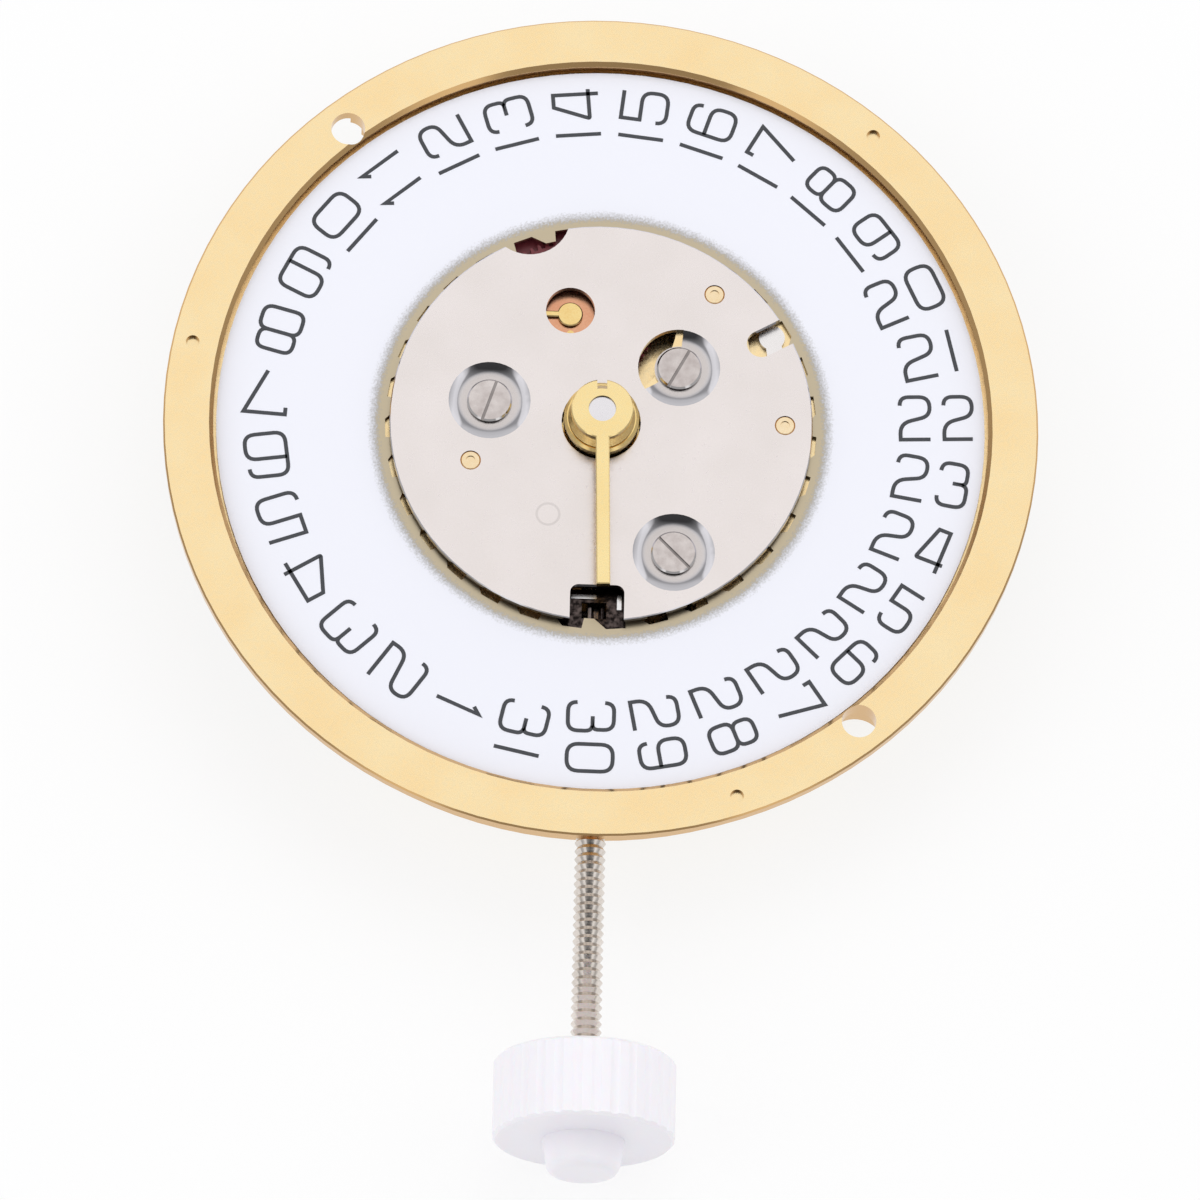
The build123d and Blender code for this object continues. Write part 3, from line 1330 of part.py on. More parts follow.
# Positive strap: a steel strip screwed to the plate through the board, pressing on the can
strap_back = battery_back - strap_height
strap_run = (battery_place[0] - strap_screw_place[0], battery_place[1] - strap_screw_place[1])
strap_reach = hypot(*strap_run) - battery_radius + strap_overlap
strap_angle = degrees(atan2(strap_run[1], strap_run[0]))
strap_head_height = bridge_screw_head_height
with BuildPart() as battery_strap:
    with BuildSketch(Plane.XY.offset(strap_back)):
        link(strap_screw_place, polar(strap_reach, strap_angle, strap_screw_place), strap_width)
    extrude(amount=strap_height)
    with BuildSketch(Plane.XY.offset(strap_back)):
        with Locations(strap_screw_place):
            Circle(strap_boss_radius)
    extrude(amount=board_back - strap_back)
    with BuildSketch(Plane.XY.offset(strap_back)):
        with Locations(strap_screw_place):
            Circle(strap_screw_shank_radius)
    extrude(amount=board_back - strap_back, mode=Mode.SUBTRACT)
    with BuildSketch(Plane.XY.offset(strap_back)):
        with Locations(strap_screw_place):
            Circle(strap_screw_head_radius + bridge_hole_play)
    extrude(amount=strap_head_height, mode=Mode.SUBTRACT)
finish(battery_strap, "battery_strap")

with BuildPart() as strap_screw:
    slotted_screw(strap_screw_place, core_screw_turns[0], strap_back, strap_screw_head_radius,
                  strap_head_height, strap_screw_shank_radius,
                  strap_screw_top - strap_back - strap_head_height)
finish(strap_screw, "strap_screw")

# Train bridge: a gold-plated plate over the wheels, with a jewel for every pivot
train_places = ((0, 0), third_place, intermediate_place, rotor_place)
with BuildPart() as train_bridge:
    with BuildSketch(Plane.XY.offset(bridge_back)):
        Polygon(*bridge_outline, align=None)
        offset(amount=bridge_margin, kind=Kind.ARC)
    extrude(amount=bridge_height)
    chamfer(train_bridge.edges().group_by(Axis.Z)[0], bridge_bevel)
    with BuildSketch(Plane.XY.offset(bridge_back)):
        with Locations(*train_places):
            Circle(jewel_radius)
    extrude(amount=jewel_height, mode=Mode.SUBTRACT)
    with BuildSketch(Plane.XY.offset(bridge_back)):
        with Locations(*train_places):
            Circle(2 * pivot_radius)
        with Locations(*bridge_screw_places):
            Circle(bridge_screw_radius)
    extrude(amount=bridge_height, mode=Mode.SUBTRACT)
finish(train_bridge, "train_bridge")

with BuildPart() as train_jewels:
    with BuildSketch(Plane.XY.offset(bridge_back)):
        with Locations(*train_places):
            Circle(jewel_radius)
            Circle(pivot_radius + pivot_play, mode=Mode.SUBTRACT)
    extrude(amount=jewel_height)
finish(train_jewels, "train_jewels")

bridge_screw_turns = (35, 100, 150)
with BuildPart() as bridge_screws:
    for place, turn in zip(bridge_screw_places, bridge_screw_turns):
        slotted_screw(place, turn, bridge_back - bridge_screw_head_height, bridge_screw_head_radius,
                      bridge_screw_head_height, bridge_screw_radius, bridge_height + bridge_screw_depth)
finish(bridge_screws, "bridge_screws")

# Circuit board round the bridge and the battery, with a window for the crystal
with BuildPart() as circuit_board:
    with BuildSketch(Plane.XY.offset(board_back)):
        Circle(board_radius)
        with Locations((0, board_edge_y - board_radius)):
            Rectangle(2 * board_radius, 2 * board_radius, mode=Mode.SUBTRACT)
        with Locations(battery_place):
            Circle(cavity_radius + board_play, mode=Mode.SUBTRACT)
        with Locations(coil_place):
            Rectangle(2 * (coil_flange_radius + board_play),
                      2 * (core_half_length + core_end_radius + board_play), mode=Mode.SUBTRACT)
        with Locations(crystal_pocket):
            Rectangle(crystal_pocket_length, 2 * (crystal_radius + layer_play), mode=Mode.SUBTRACT)
        with Locations(polar(foot_hole_distance, foot_hole_angle)):
            Circle(foot_notch_radius + board_play, mode=Mode.SUBTRACT)
        with Locations(*board_screw_places, strap_screw_place):
            Circle(bridge_screw_radius + bridge_hole_play, mode=Mode.SUBTRACT)
    extrude(amount=board_height)
    with BuildSketch(Plane.XY.offset(board_back)):
        Polygon(*bridge_outline, align=None)
        offset(amount=bridge_margin + board_play, kind=Kind.ARC)
    extrude(amount=board_height, mode=Mode.SUBTRACT)
finish(circuit_board, "circuit_board")

board_screw_turns = (10, 60)
with BuildPart() as board_screws:
    for place, turn in zip(board_screw_places, board_screw_turns):
        slotted_screw(place, turn, board_back - bridge_screw_head_height, bridge_screw_head_radius,
                      bridge_screw_head_height, bridge_screw_radius, board_height + bridge_screw_depth)
finish(board_screws, "board_screws")

# Timing chip on the board, and the crystal in its can with two bent leads
with BuildPart() as timing_chip:
    with BuildSketch(Plane.XY.offset(board_back - chip_height)):
        with Locations(chip_place):
            Rectangle(chip_side, chip_side)
    extrude(amount=chip_height)
    chamfer(timing_chip.edges().group_by(Axis.Z)[0], chip_edge)
finish(timing_chip, "timing_chip")

can_end = crystal_place[0] + crystal_length / 2
with BuildPart() as crystal_can:
    with BuildSketch(Plane.YZ.offset(can_end - crystal_length)):
        with Locations((crystal_place[1], -crystal_drop)):
            Circle(crystal_radius)
    extrude(amount=crystal_length)
    chamfer(crystal_can.edges().filter_by(GeomType.CIRCLE), crystal_lead_radius)
finish(crystal_can, "crystal_can")

lead_level = board_back - crystal_lead_radius
with BuildPart() as crystal_leads:
    with BuildSketch(Plane.YZ.offset(can_end)):
        with Locations((crystal_place[1], -crystal_drop)):
            Circle(crystal_radius - crystal_lead_radius)
    extrude(amount=crystal_cap_length)
    for side in (-1, 1):
        lead_y = crystal_place[1] + side * crystal_lead_gap / 2
        bend_x = can_end + crystal_cap_length + crystal_lead_step
        with BuildSketch(Plane.YZ.offset(can_end + crystal_cap_length)):
            with Locations((lead_y, -crystal_drop)):
                Circle(crystal_lead_radius)
        extrude(amount=crystal_lead_step)
        with BuildSketch(Plane.XY.offset(lead_level - crystal_lead_radius)):
            with Locations((bend_x, lead_y)):
                Circle(crystal_lead_radius)
        extrude(amount=crystal_lead_radius - crystal_drop - lead_level + crystal_lead_radius)
        with BuildSketch(Plane.YZ.offset(bend_x)):
            with Locations((lead_y, lead_level)):
                Circle(crystal_lead_radius)
        extrude(amount=crystal_lead_foot)
finish(crystal_leads, "crystal_leads")

# Test hand: the key-shaped brass pointer, and the collet that holds it on the cannon pinion
with BuildPart() as test_hand:
    with BuildSketch(Plane.XY.offset(cannon_shoulder)):
        with Locations(Location((0, 0), hand_angle)):
            Circle(hand_ring_radius)
            with Locations((0, -hand_length / 2)):
                Rectangle(hand_width, hand_length)
    extrude(amount=hand_height)
    chamfer(test_hand.edges().group_by(Axis.Z)[-1], hand_bevel)
    with BuildSketch(Plane.XY.offset(cannon_shoulder)):
        with Locations(Location((0, 0), hand_angle)):
            Circle(hand_hole_radius)
            with Locations((0, hand_ring_radius)):
                Rectangle(hand_slot_width, 2 * hand_slot_depth)
    extrude(amount=hand_height, mode=Mode.SUBTRACT)
finish(test_hand, "test_hand")

collet_under = hour_top + running_play
with BuildPart() as hand_collet:
    with BuildSketch(Plane.XY.offset(collet_under)):
        Circle(collet_base_radius)
    with BuildSketch(Plane.XY.offset(cannon_shoulder)):
        Circle(collet_top_radius)
    loft()
    with BuildSketch(Plane.XY.offset(collet_under)):
        Circle(cannon_radius)
    extrude(amount=cannon_shoulder - collet_under, mode=Mode.SUBTRACT)
finish(hand_collet, "hand_collet")
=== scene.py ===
import bpy
from math import cos, pi, radians, sin
from mathutils import Matrix, Vector


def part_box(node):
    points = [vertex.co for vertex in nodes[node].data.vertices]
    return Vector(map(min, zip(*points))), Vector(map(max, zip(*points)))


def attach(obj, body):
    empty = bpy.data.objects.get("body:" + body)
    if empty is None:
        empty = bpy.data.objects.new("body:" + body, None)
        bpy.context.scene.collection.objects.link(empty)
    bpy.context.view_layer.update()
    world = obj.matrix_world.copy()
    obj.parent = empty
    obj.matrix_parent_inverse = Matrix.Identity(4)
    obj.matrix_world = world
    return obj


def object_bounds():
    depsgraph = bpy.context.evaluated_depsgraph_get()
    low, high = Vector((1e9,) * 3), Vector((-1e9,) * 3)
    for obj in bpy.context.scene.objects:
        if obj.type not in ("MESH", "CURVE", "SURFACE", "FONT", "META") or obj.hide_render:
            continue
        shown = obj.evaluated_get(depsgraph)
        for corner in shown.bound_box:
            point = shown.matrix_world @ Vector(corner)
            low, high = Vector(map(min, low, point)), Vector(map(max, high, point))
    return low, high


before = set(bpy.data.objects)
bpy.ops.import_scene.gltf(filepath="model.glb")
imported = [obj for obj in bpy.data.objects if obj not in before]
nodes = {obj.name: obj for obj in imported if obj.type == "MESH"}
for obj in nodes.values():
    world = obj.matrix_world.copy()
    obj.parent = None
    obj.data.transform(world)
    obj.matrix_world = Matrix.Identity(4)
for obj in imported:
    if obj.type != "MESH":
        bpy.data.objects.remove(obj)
cad_box = [list(corner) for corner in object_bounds()]
mm = 0.001


# Camera: a long lens high over the stem's side, tipped a little to the left, as in the photo.
# The picture is taken as 1200 x 1200, with no shift and no depth of field.
camera_place = (-7.17, -116.65, 296.35)
camera_rise = radians(69.41)
camera_pan = radians(-3.736)
camera_lean = radians(-5.315)
lens_length = 326.9
film_width = 36
near_limit = 10
far_limit = 10000


def aim(rise, pan, lean):
    """Turn of a camera that looks down by rise, from the stem's side, panned and leaned."""
    back = Vector((sin(pan) * cos(rise), -cos(pan) * cos(rise), sin(rise)))
    level = Vector((cos(pan), sin(pan), 0))
    upright = back.cross(level)
    right = level * cos(lean) - upright * sin(lean)
    up = level * sin(lean) + upright * cos(lean)
    return Matrix((right, up, back)).transposed().to_4x4()


lens = bpy.data.cameras.new("long_lens")
lens.lens = lens_length
lens.sensor_width = film_width
lens.clip_start = near_limit * mm
lens.clip_end = far_limit * mm
camera = bpy.data.objects.new("camera", lens)
camera.matrix_world = (Matrix.Translation(Vector(camera_place) * mm)
                       @ aim(camera_rise, camera_pan, camera_lean))
bpy.context.scene.collection.objects.link(camera)
bpy.context.scene.camera = camera
bpy.context.scene.view_settings.view_transform = "Standard"


# Studio tent: an even white tent for matt surfaces. Polished metal sees a lamp sheet above and
# one below, a bright strip at each side, a grey tent, a lighter back wall, and a dark front.
# Each pair of numbers is where a sheet, strip or wall begins and where it is full.
white = "#FFFFFF"
upper_sheet = (0, 0.35, 0.937)
lower_sheet = (0, -0.2, -0.98)
sheet_rim = (0.90, 0.96)
tent_grey = 0.42
strip_inside = (0.34, 0.44)
strip_outside = (0.58, 0.72)
strip_faded = 0.5
back_wall = (0.55, 0.80)
back_grey = 0.72
dark_front = (0, -0.5, 0.866)
front_rim = (0.80, 0.94)
front_grey = 0.12
light_on_matt = 0.70


def linear(hex_colour):
    """Linear colour, with full alpha, of an sRGB hex value."""
    channels = [int(hex_colour[i:i + 2], 16) / 255 for i in (1, 3, 5)]
    return [c / 12.92 if c <= 0.04045 else ((c + 0.055) / 1.055) ** 2.4 for c in channels] + [1]


def add(tree, kind, links=None, **settings):
    """Adds a node, with its settings, and with its inputs set or linked by name or number."""
    node = tree.nodes.new("ShaderNode" + kind)
    for name, value in settings.items():
        setattr(node, name, value)
    for socket, value in (links or {}).items():
        if isinstance(value, bpy.types.NodeSocket):
            tree.links.new(value, node.inputs[socket])
        else:
            node.inputs[socket].default_value = value
    return node


tent = bpy.data.worlds.new("tent")
bpy.context.scene.world = tent
tent.use_nodes = True
sky = tent.node_tree
sky.nodes.clear()
towards = add(sky, "TexCoord").outputs["Generated"]
sideways, backwards = add(sky, "SeparateXYZ", {0: towards}).outputs[:2]
upper = add(sky, "VectorMath", {0: towards, 1: upper_sheet}, operation="DOT_PRODUCT")
lower = add(sky, "VectorMath", {0: towards, 1: lower_sheet}, operation="DOT_PRODUCT")
nearer = add(sky, "Math", {0: upper.outputs["Value"], 1: lower.outputs["Value"]},
             operation="MAXIMUM")
sheets = add(sky, "MapRange", {0: nearer.outputs[0], 1: sheet_rim[0], 2: sheet_rim[1],
                               3: tent_grey, 4: 1.0})
aside = add(sky, "Math", {0: sideways}, operation="ABSOLUTE")
strip_in = add(sky, "MapRange", {0: aside.outputs[0], 1: strip_inside[0], 2: strip_inside[1]})
strip_out = add(sky, "MapRange", {0: aside.outputs[0], 1: strip_outside[0], 2: strip_outside[1],
                                  3: 1.0, 4: strip_faded})
strips = add(sky, "Math", {0: strip_in.outputs[0], 1: strip_out.outputs[0]},
             operation="MULTIPLY")
lit = add(sky, "Math", {0: sheets.outputs[0], 1: strips.outputs[0]}, operation="MAXIMUM")
wall = add(sky, "MapRange", {0: backwards, 1: back_wall[0], 2: back_wall[1],
                             3: 0.0, 4: back_grey})
lit = add(sky, "Math", {0: lit.outputs[0], 1: wall.outputs[0]}, operation="MAXIMUM")
front = add(sky, "VectorMath", {0: towards, 1: dark_front}, operation="DOT_PRODUCT")
kept = add(sky, "MapRange", {0: front.outputs["Value"], 1: front_rim[0], 2: front_rim[1],
                             3: 1.0, 4: front_grey})
lit = add(sky, "Math", {0: lit.outputs[0], 1: kept.outputs[0]}, operation="MULTIPLY")
path = add(sky, "LightPath")
mirrored = add(sky, "Math", {0: path.outputs["Is Glossy Ray"],
                             1: path.outputs["Is Transmission Ray"]}, operation="MAXIMUM")
shown = add(sky, "Mix", {"Factor": mirrored.outputs[0], "A": light_on_matt,
                         "B": lit.outputs[0]})
plain = add(sky, "Mix", {"Factor": path.outputs["Is Camera Ray"], "A": shown.outputs[0],
                         "B": 1.0})
shine = add(sky, "Background", {"Color": linear(white), "Strength": plain.outputs[0]})
add(sky, "OutputWorld", {0: shine.outputs[0]})


# Studio lamps: three large soft boxes, left, right and behind. They light matt surfaces only,
# and each gives its share of what makes a white sheet full white.
lamp_distance = 300 * mm
lamp_side = 220 * mm
full_white = pi * pi * lamp_distance * lamp_distance
lamps = (("left_lamp", (-0.75, -0.10, 0.66), 0.18), ("right_lamp", (0.75, 0.15, 0.66), 0.15),
         ("back_lamp", (0.05, 0.55, 0.83), 0.18))
for name, direction, share in lamps:
    light = bpy.data.lights.new(name, "AREA")
    light.shape = "SQUARE"
    light.size = lamp_side
    light.energy = share * full_white
    lamp = bpy.data.objects.new(name, light)
    facing = Vector(direction).normalized()
    lamp.matrix_world = (Matrix.Translation(facing * lamp_distance)
                         @ facing.to_track_quat("Z", "Y").to_matrix().to_4x4())
    lamp.visible_glossy = False
    bpy.context.scene.collection.objects.link(lamp)


# Floor: a sheet of white paper just under the crown, the lowest piece.
# The camera and the metal see it white, and the movement keeps a faint shadow on it.
paper_colour = "#FBFBFC"
paper_lift = 0.80
floor_gap = 0.02
floor_reach = 500
floor_corners = ((-1, -1), (1, -1), (1, 1), (-1, 1))


def new_material(name):
    """A material without nodes: gives it back with its node tree."""
    material = bpy.data.materials.new(name)
    material.use_nodes = True
    material.node_tree.nodes.clear()
    return material, material.node_tree


def new_object(name, vertices, faces, material, rides=None):
    """A mesh object from millimetres, with its material, riding on a body of the movement."""
    mesh = bpy.data.meshes.new(name)
    mesh.from_pydata([Vector(vertex) * mm for vertex in vertices], [], faces)
    mesh.materials.append(material)
    piece = bpy.data.objects.new(name, mesh)
    bpy.context.scene.collection.objects.link(piece)
    if rides:
        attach(piece, rides)
    return piece


paper, tree = new_material("white_paper")
path = add(tree, "LightPath")
seen = add(tree, "Math", {0: path.outputs["Is Camera Ray"], 1: path.outputs["Is Glossy Ray"]},
           operation="MAXIMUM")
seen = add(tree, "Math", {0: seen.outputs[0], 1: path.outputs["Is Transmission Ray"]},
           operation="MAXIMUM")
sheet = add(tree, "BsdfDiffuse", {"Color": linear(paper_colour)})
glow = add(tree, "Emission", {"Color": linear(white), "Strength": 1.0})
lift = add(tree, "Math", {0: seen.outputs[0], 1: paper_lift}, operation="MULTIPLY")
blend = add(tree, "MixShader", {0: lift.outputs[0], 1: sheet.outputs[0], 2: glow.outputs[0]})
add(tree, "OutputMaterial", {"Surface": blend.outputs[0]})
floor_level = cad_box[0][2] / mm - floor_gap
floor = new_object("floor", [(x * floor_reach, y * floor_reach, floor_level)
                             for x, y in floor_corners], [(0, 1, 2, 3)], paper)


# Main plate: brass, turned and milled in one with its flange, then gilt all over.
# Satin gilding gives a soft pale gold with a fine grain, and the deeper gold on the slopes
# is painted shade.
# The grain is about 0.05 mm on the real plate, and is drawn at 0.12 mm so that it shows.
noise_detail = 4.0
cloud_scale = 15
cloud_detail = 2.0
tint_range = (0.38, 0.62)
gloss_range = (0.3, 0.7)
gloss_play = 0.04
flat_range = (0.975, 0.995)


def dress(material, *names):
    """Gives CAD nodes a material."""
    for name in names:
        for slot in nodes[name].material_slots:
            slot.material = material


def metal(name, colour, tint, roughness, grain, depth, stretch=(1, 1, 1), painted_slope_shading=None,
          slope_roughness=None):
    """A metal between two tints, with a grain of a size and depth in millimetres.
    If a roughness for slopes is given, they have that, no grain, and a painted colour
    of their own, which stands in for how the light falls on them."""
    material, tree = new_material(name)
    place = add(tree, "TexCoord").outputs["Object"]
    drawn = add(tree, "Mapping", {0: place, 3: stretch})
    fine = add(tree, "TexNoise", {"Vector": drawn.outputs[0], "Scale": 1 / (grain * mm),
                                  "Detail": noise_detail})
    broad = add(tree, "TexNoise", {"Vector": place, "Scale": 1 / (cloud_scale * grain * mm),
                                   "Detail": cloud_detail})
    mottle = add(tree, "Mix", {"Factor": 0.5, "A": fine.outputs[0], "B": broad.outputs[0]})
    spread = add(tree, "MapRange", {0: mottle.outputs[0], 1: tint_range[0], 2: tint_range[1]})
    hue = add(tree, "Mix", {0: spread.outputs[0], 6: linear(colour), 7: linear(tint)},
              data_type="RGBA").outputs[2]
    rough = add(tree, "MapRange", {0: fine.outputs[0], 1: gloss_range[0], 2: gloss_range[1],
                                   3: roughness - gloss_play, 4: roughness + gloss_play})
    rough = rough.outputs[0]
    height = fine.outputs[0]
    if slope_roughness is not None:
        turned = add(tree, "SeparateXYZ", {0: add(tree, "TexCoord").outputs["Normal"]})
        upward = add(tree, "Math", {0: turned.outputs[2]}, operation="ABSOLUTE")
        flat = add(tree, "MapRange", {0: upward.outputs[0], 1: flat_range[0], 2: flat_range[1]})
        rough = add(tree, "Mix", {"Factor": flat.outputs[0], "A": slope_roughness,
                                  "B": rough}).outputs[0]
        # Slopes take the colour of their painted shading; flats keep the grain's colour.
        hue = add(tree, "Mix", {0: flat.outputs[0], 6: linear(painted_slope_shading or colour), 7: hue},
                  data_type="RGBA").outputs[2]
        height = add(tree, "Math", {0: height, 1: flat.outputs[0]},
                     operation="MULTIPLY").outputs[0]
    bump = add(tree, "Bump", {"Height": height, "Distance": depth * mm, "Strength": 1.0})
    shader = add(tree, "BsdfPrincipled", {"Base Color": hue, "Metallic": 1.0,
                                          "Roughness": rough, "Normal": bump.outputs[0]})
    add(tree, "OutputMaterial", {"Surface": shader.outputs[0]})
    return material


dress(metal("satin_gilt_brass", "#FFE1AB", "#FFE8B8", roughness=0.26, grain=0.12, depth=0.003,
            painted_slope_shading="#D8B07A", slope_roughness=0.16), "main_plate")


# Posts, screws and the rotor's pinion: hardened steel, turned, slotted and polished. The posts
# are pressed into the plate. The polish gives a cool, nearly spotless mirror, and the lighter
# grey on the slopes is a painted highlight.
turned_steel = {"colour": "#BDB3B0", "tint": "#DAD2CF", "roughness": 0.13, "grain": 0.30,
                "depth": 0.0006, "painted_slope_shading": "#D9D5D5", "slope_roughness": 0.08}
dress(metal("polished_steel", **turned_steel), "wheel_posts", "keyless_posts", "core_screws",
      "strap_screw", "bridge_screws", "board_screws", "rotor_pinion")


# Stator and coil core: soft iron, stamped from sheet, annealed and screwed to the plate.
# Annealing leaves it a dull, warm grey with a cloudy surface.
dress(metal("annealed_soft_iron", "#A8A29A", "#B9B3AA", roughness=0.38, grain=0.10,
            depth=0.003), "stator", "coil_core")


# Rotor magnet: samarium cobalt, pressed and sintered, glued on the rotor's pinion.
# Sintering gives a dark, matt grey with fine pits.
fleck_detail = 3.0
fleck_range = (0.35, 0.65)
fleck_gloss = (0.85, 1.15)


def plain_material(name, colour, roughness, grain, depth, darkest=0.93, **inputs):
    """One colour, down to a darkest share of it, with a grain of a size and depth in mm.
    The other inputs are those of its shader, in which _ stands for a space."""
    material, tree = new_material(name)
    links = {key.replace("_", " "): value for key, value in inputs.items()}
    place = add(tree, "TexCoord").outputs["Object"]
    fine = add(tree, "TexNoise", {"Vector": place, "Scale": 1 / (grain * mm),
                                  "Detail": fleck_detail})
    shade = add(tree, "MapRange", {0: fine.outputs[0], 1: fleck_range[0], 2: fleck_range[1],
                                   3: darkest, 4: 1.0})
    tone = add(tree, "Mix", {0: 1.0, 6: linear(colour), 7: shade.outputs[0]},
               data_type="RGBA", blend_type="MULTIPLY")
    rough = add(tree, "MapRange", {0: fine.outputs[0], 1: fleck_range[0], 2: fleck_range[1],
                                   3: roughness * fleck_gloss[0], 4: roughness * fleck_gloss[1]})
    bump = add(tree, "Bump", {"Height": fine.outputs[0], "Distance": depth * mm,
                              "Strength": 1.0})
    shader = add(tree, "BsdfPrincipled", {"Base Color": tone.outputs[2],
                                          "Roughness": rough.outputs[0],
                                          "Normal": bump.outputs[0], **links})
    add(tree, "OutputMaterial", {"Surface": shader.outputs[0]})
    return material


dress(plain_material("sintered_magnet", "#3C3C3E", roughness=0.6, grain=0.06, depth=0.005,
                     Metallic=0.5), "rotor_magnet")


# Coil bobbin: black plastic, moulded round the core, with a flange at each end.
# The moulding gives a half-gloss black, a little uneven.
dress(plain_material("black_bobbin_plastic", "#1C1C1E", roughness=0.4, grain=0.15,
                     depth=0.003), "coil_bobbin")


# Coil winding: enamelled copper wire, wound on the bobbin in many layers. It gives a warm,
# shining brown with fine lines across. The turns are 0.02 mm on the real coil, and are drawn
# 0.09 mm apart so that they show. Blender's wave turns by 20 radians for each unit of place.
turn_pitch = 0.09
turn_depth = 0.02
wave_rate = 20
enamel_cloud = 0.5
enamelled_copper, tree = new_material("enamelled_copper_wire")
place = add(tree, "TexCoord").outputs["Object"]
turns = add(tree, "TexWave", {"Vector": place, "Scale": 2 * pi / wave_rate / (turn_pitch * mm),
                              "Distortion": 0.0}, bands_direction="Y")
uneven = add(tree, "TexNoise", {"Vector": place, "Scale": 1 / (enamel_cloud * mm)})
hue = add(tree, "Mix", {0: uneven.outputs[0], 6: linear("#B4612F"), 7: linear("#D98A55")},
          data_type="RGBA")
bump = add(tree, "Bump", {"Height": turns.outputs[1], "Distance": turn_depth * mm,
                          "Strength": 1.0})
shader = add(tree, "BsdfPrincipled", {"Base Color": hue.outputs[2], "Metallic": 0.85,
                                      "Roughness": 0.3, "Normal": bump.outputs[0]})
add(tree, "OutputMaterial", {"Surface": shader.outputs[0]})
dress(enamelled_copper, "coil_winding")


# Train wheels, hour wheel, collet and date post: brass, turned, with teeth cut by a hob.
# The turning gives a bright yellow with a very fine line.
dress(metal("bright_turned_brass", "#EFCB84", "#F7DB98", roughness=0.20, grain=0.06,
            depth=0.001), "hand_collet", "hour_wheel", "minute_wheel", "date_wheel_post",
      "date_finger_pin", "centre_wheel", "third_wheel", "intermediate_wheel")


# Train bridge: brass, stamped, ground in straight lines along X, and gilt like the plate.
# It gives lined pale gold with polished edges. The lines are drawn coarser than the real ones.
dress(metal("lined_gilt_brass", "#F2D19A", "#FBDDAA", roughness=0.24, grain=0.10, depth=0.004,
            stretch=(1, 0.06, 1), slope_roughness=0.10), "train_bridge")


# Train jewels: synthetic ruby, sawn, drilled for a pivot, polished and pressed into the
# bridge. It gives a clear, deep red with a hard shine.
dress(plain_material("red_jewel", "#A8102D", roughness=0.05, grain=0.30, depth=0.0003,
                     Transmission_Weight=0.55, IOR=1.76), "train_jewels")


# Battery: nickel-plated steel, its can and its cap both deep drawn, with the can's bottom
# brushed in circles. It gives fine bright rings. They are drawn 0.06 mm wide so that they show.
lower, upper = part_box("battery_can")
brush_grain = 0.06
brush_depth = 0.002
brush_detail = 2.0
brush_gloss = (0.18, 0.34)
material, tree = new_material("brushed_cell_steel")
place = add(tree, "TexCoord").outputs["Object"]
middle = Vector(((lower.x + upper.x) / 2, (lower.y + upper.y) / 2, 0))
offset = add(tree, "VectorMath", {0: place, 1: middle}, operation="SUBTRACT")
offset = add(tree, "VectorMath", {0: offset.outputs[0], 1: (1, 1, 0)}, operation="MULTIPLY")
distance = add(tree, "VectorMath", {0: offset.outputs[0]}, operation="LENGTH")
circle = add(tree, "CombineXYZ", {0: distance.outputs["Value"]})
brushed = add(tree, "TexNoise", {"Vector": circle.outputs[0], "Scale": 1 / (brush_grain * mm),
                                 "Detail": brush_detail})
rough = add(tree, "MapRange", {0: brushed.outputs[0], 1: gloss_range[0], 2: gloss_range[1],
                               3: brush_gloss[0], 4: brush_gloss[1]})
bump = add(tree, "Bump", {"Height": brushed.outputs[0], "Distance": brush_depth * mm,
                          "Strength": 1.0})
shader = add(tree, "BsdfPrincipled", {"Base Color": linear("#D6D4D0"), "Metallic": 1.0,
                                      "Roughness": rough.outputs[0],
                                      "Normal": bump.outputs[0]})
add(tree, "OutputMaterial", {"Surface": shader.outputs[0]})
dress(material, "battery_can", "battery_cap")


# Battery sleeve: blue plastic, moulded as a thin ring that keeps the can off the plate.
# The moulding gives it a soft gloss.
dress(plain_material("blue_sleeve_plastic", "#4F72A4", roughness=0.35, grain=0.25,
                     depth=0.003), "battery_sleeve")


# Battery contacts: the negative one is tinned bronze, as the crystal's leads are tinned wire.
# The strap across the can is spring steel, stamped, bent and held by its screw.
# Tin gives a soft bright grey, and the rolled strap a grey with faint lines.
tinned = metal("tinned_metal", "#D2D0CA", "#DEDCD6", roughness=0.24, grain=0.15, depth=0.002)
dress(tinned, "negative_contact", "crystal_leads")
dress(metal("sprung_strap_steel", "#CFCBC4", "#DBD7D0", roughness=0.22, grain=0.06,
            depth=0.002, stretch=(0.5, 1, 1)), "battery_strap")


# Crystal can: a quartz tuning fork in a deep-drawn can, plated with nickel and soldered by
# its two leads. The plating gives a bright mirror with a faint warm tint.
dress(metal("crystal_can_nickel", "#D9D6CF", "#E3E0D9", roughness=0.14, grain=0.10,
            depth=0.001), "crystal_can")


# Circuit board: glass cloth in resin under green lacquer, screwed to the plate.
# It gives a glossy green, in which the cloth shows as small squares of 0.2 mm.
cloth_pitch = 0.2
material, tree = new_material("green_board")
place = add(tree, "TexCoord").outputs["Object"]
weave = add(tree, "TexChecker", {"Vector": place, "Scale": 1 / (cloth_pitch * mm)})
cloth = add(tree, "Mix", {0: weave.outputs[1], 6: linear("#1E5A3A"), 7: linear("#236442")},
            data_type="RGBA")
shader = add(tree, "BsdfPrincipled", {"Base Color": cloth.outputs[2], "Roughness": 0.3,
                                      "Coat Weight": 0.4})
add(tree, "OutputMaterial", {"Surface": shader.outputs[0]})
dress(material, "circuit_board")


# Timing chip: a bare circuit under black epoxy, moulded square on the board.
# The filled resin gives a dull black with a fine grain.
dress(plain_material("black_chip_resin", "#171719", roughness=0.45, grain=0.08, depth=0.006),
      "timing_chip")


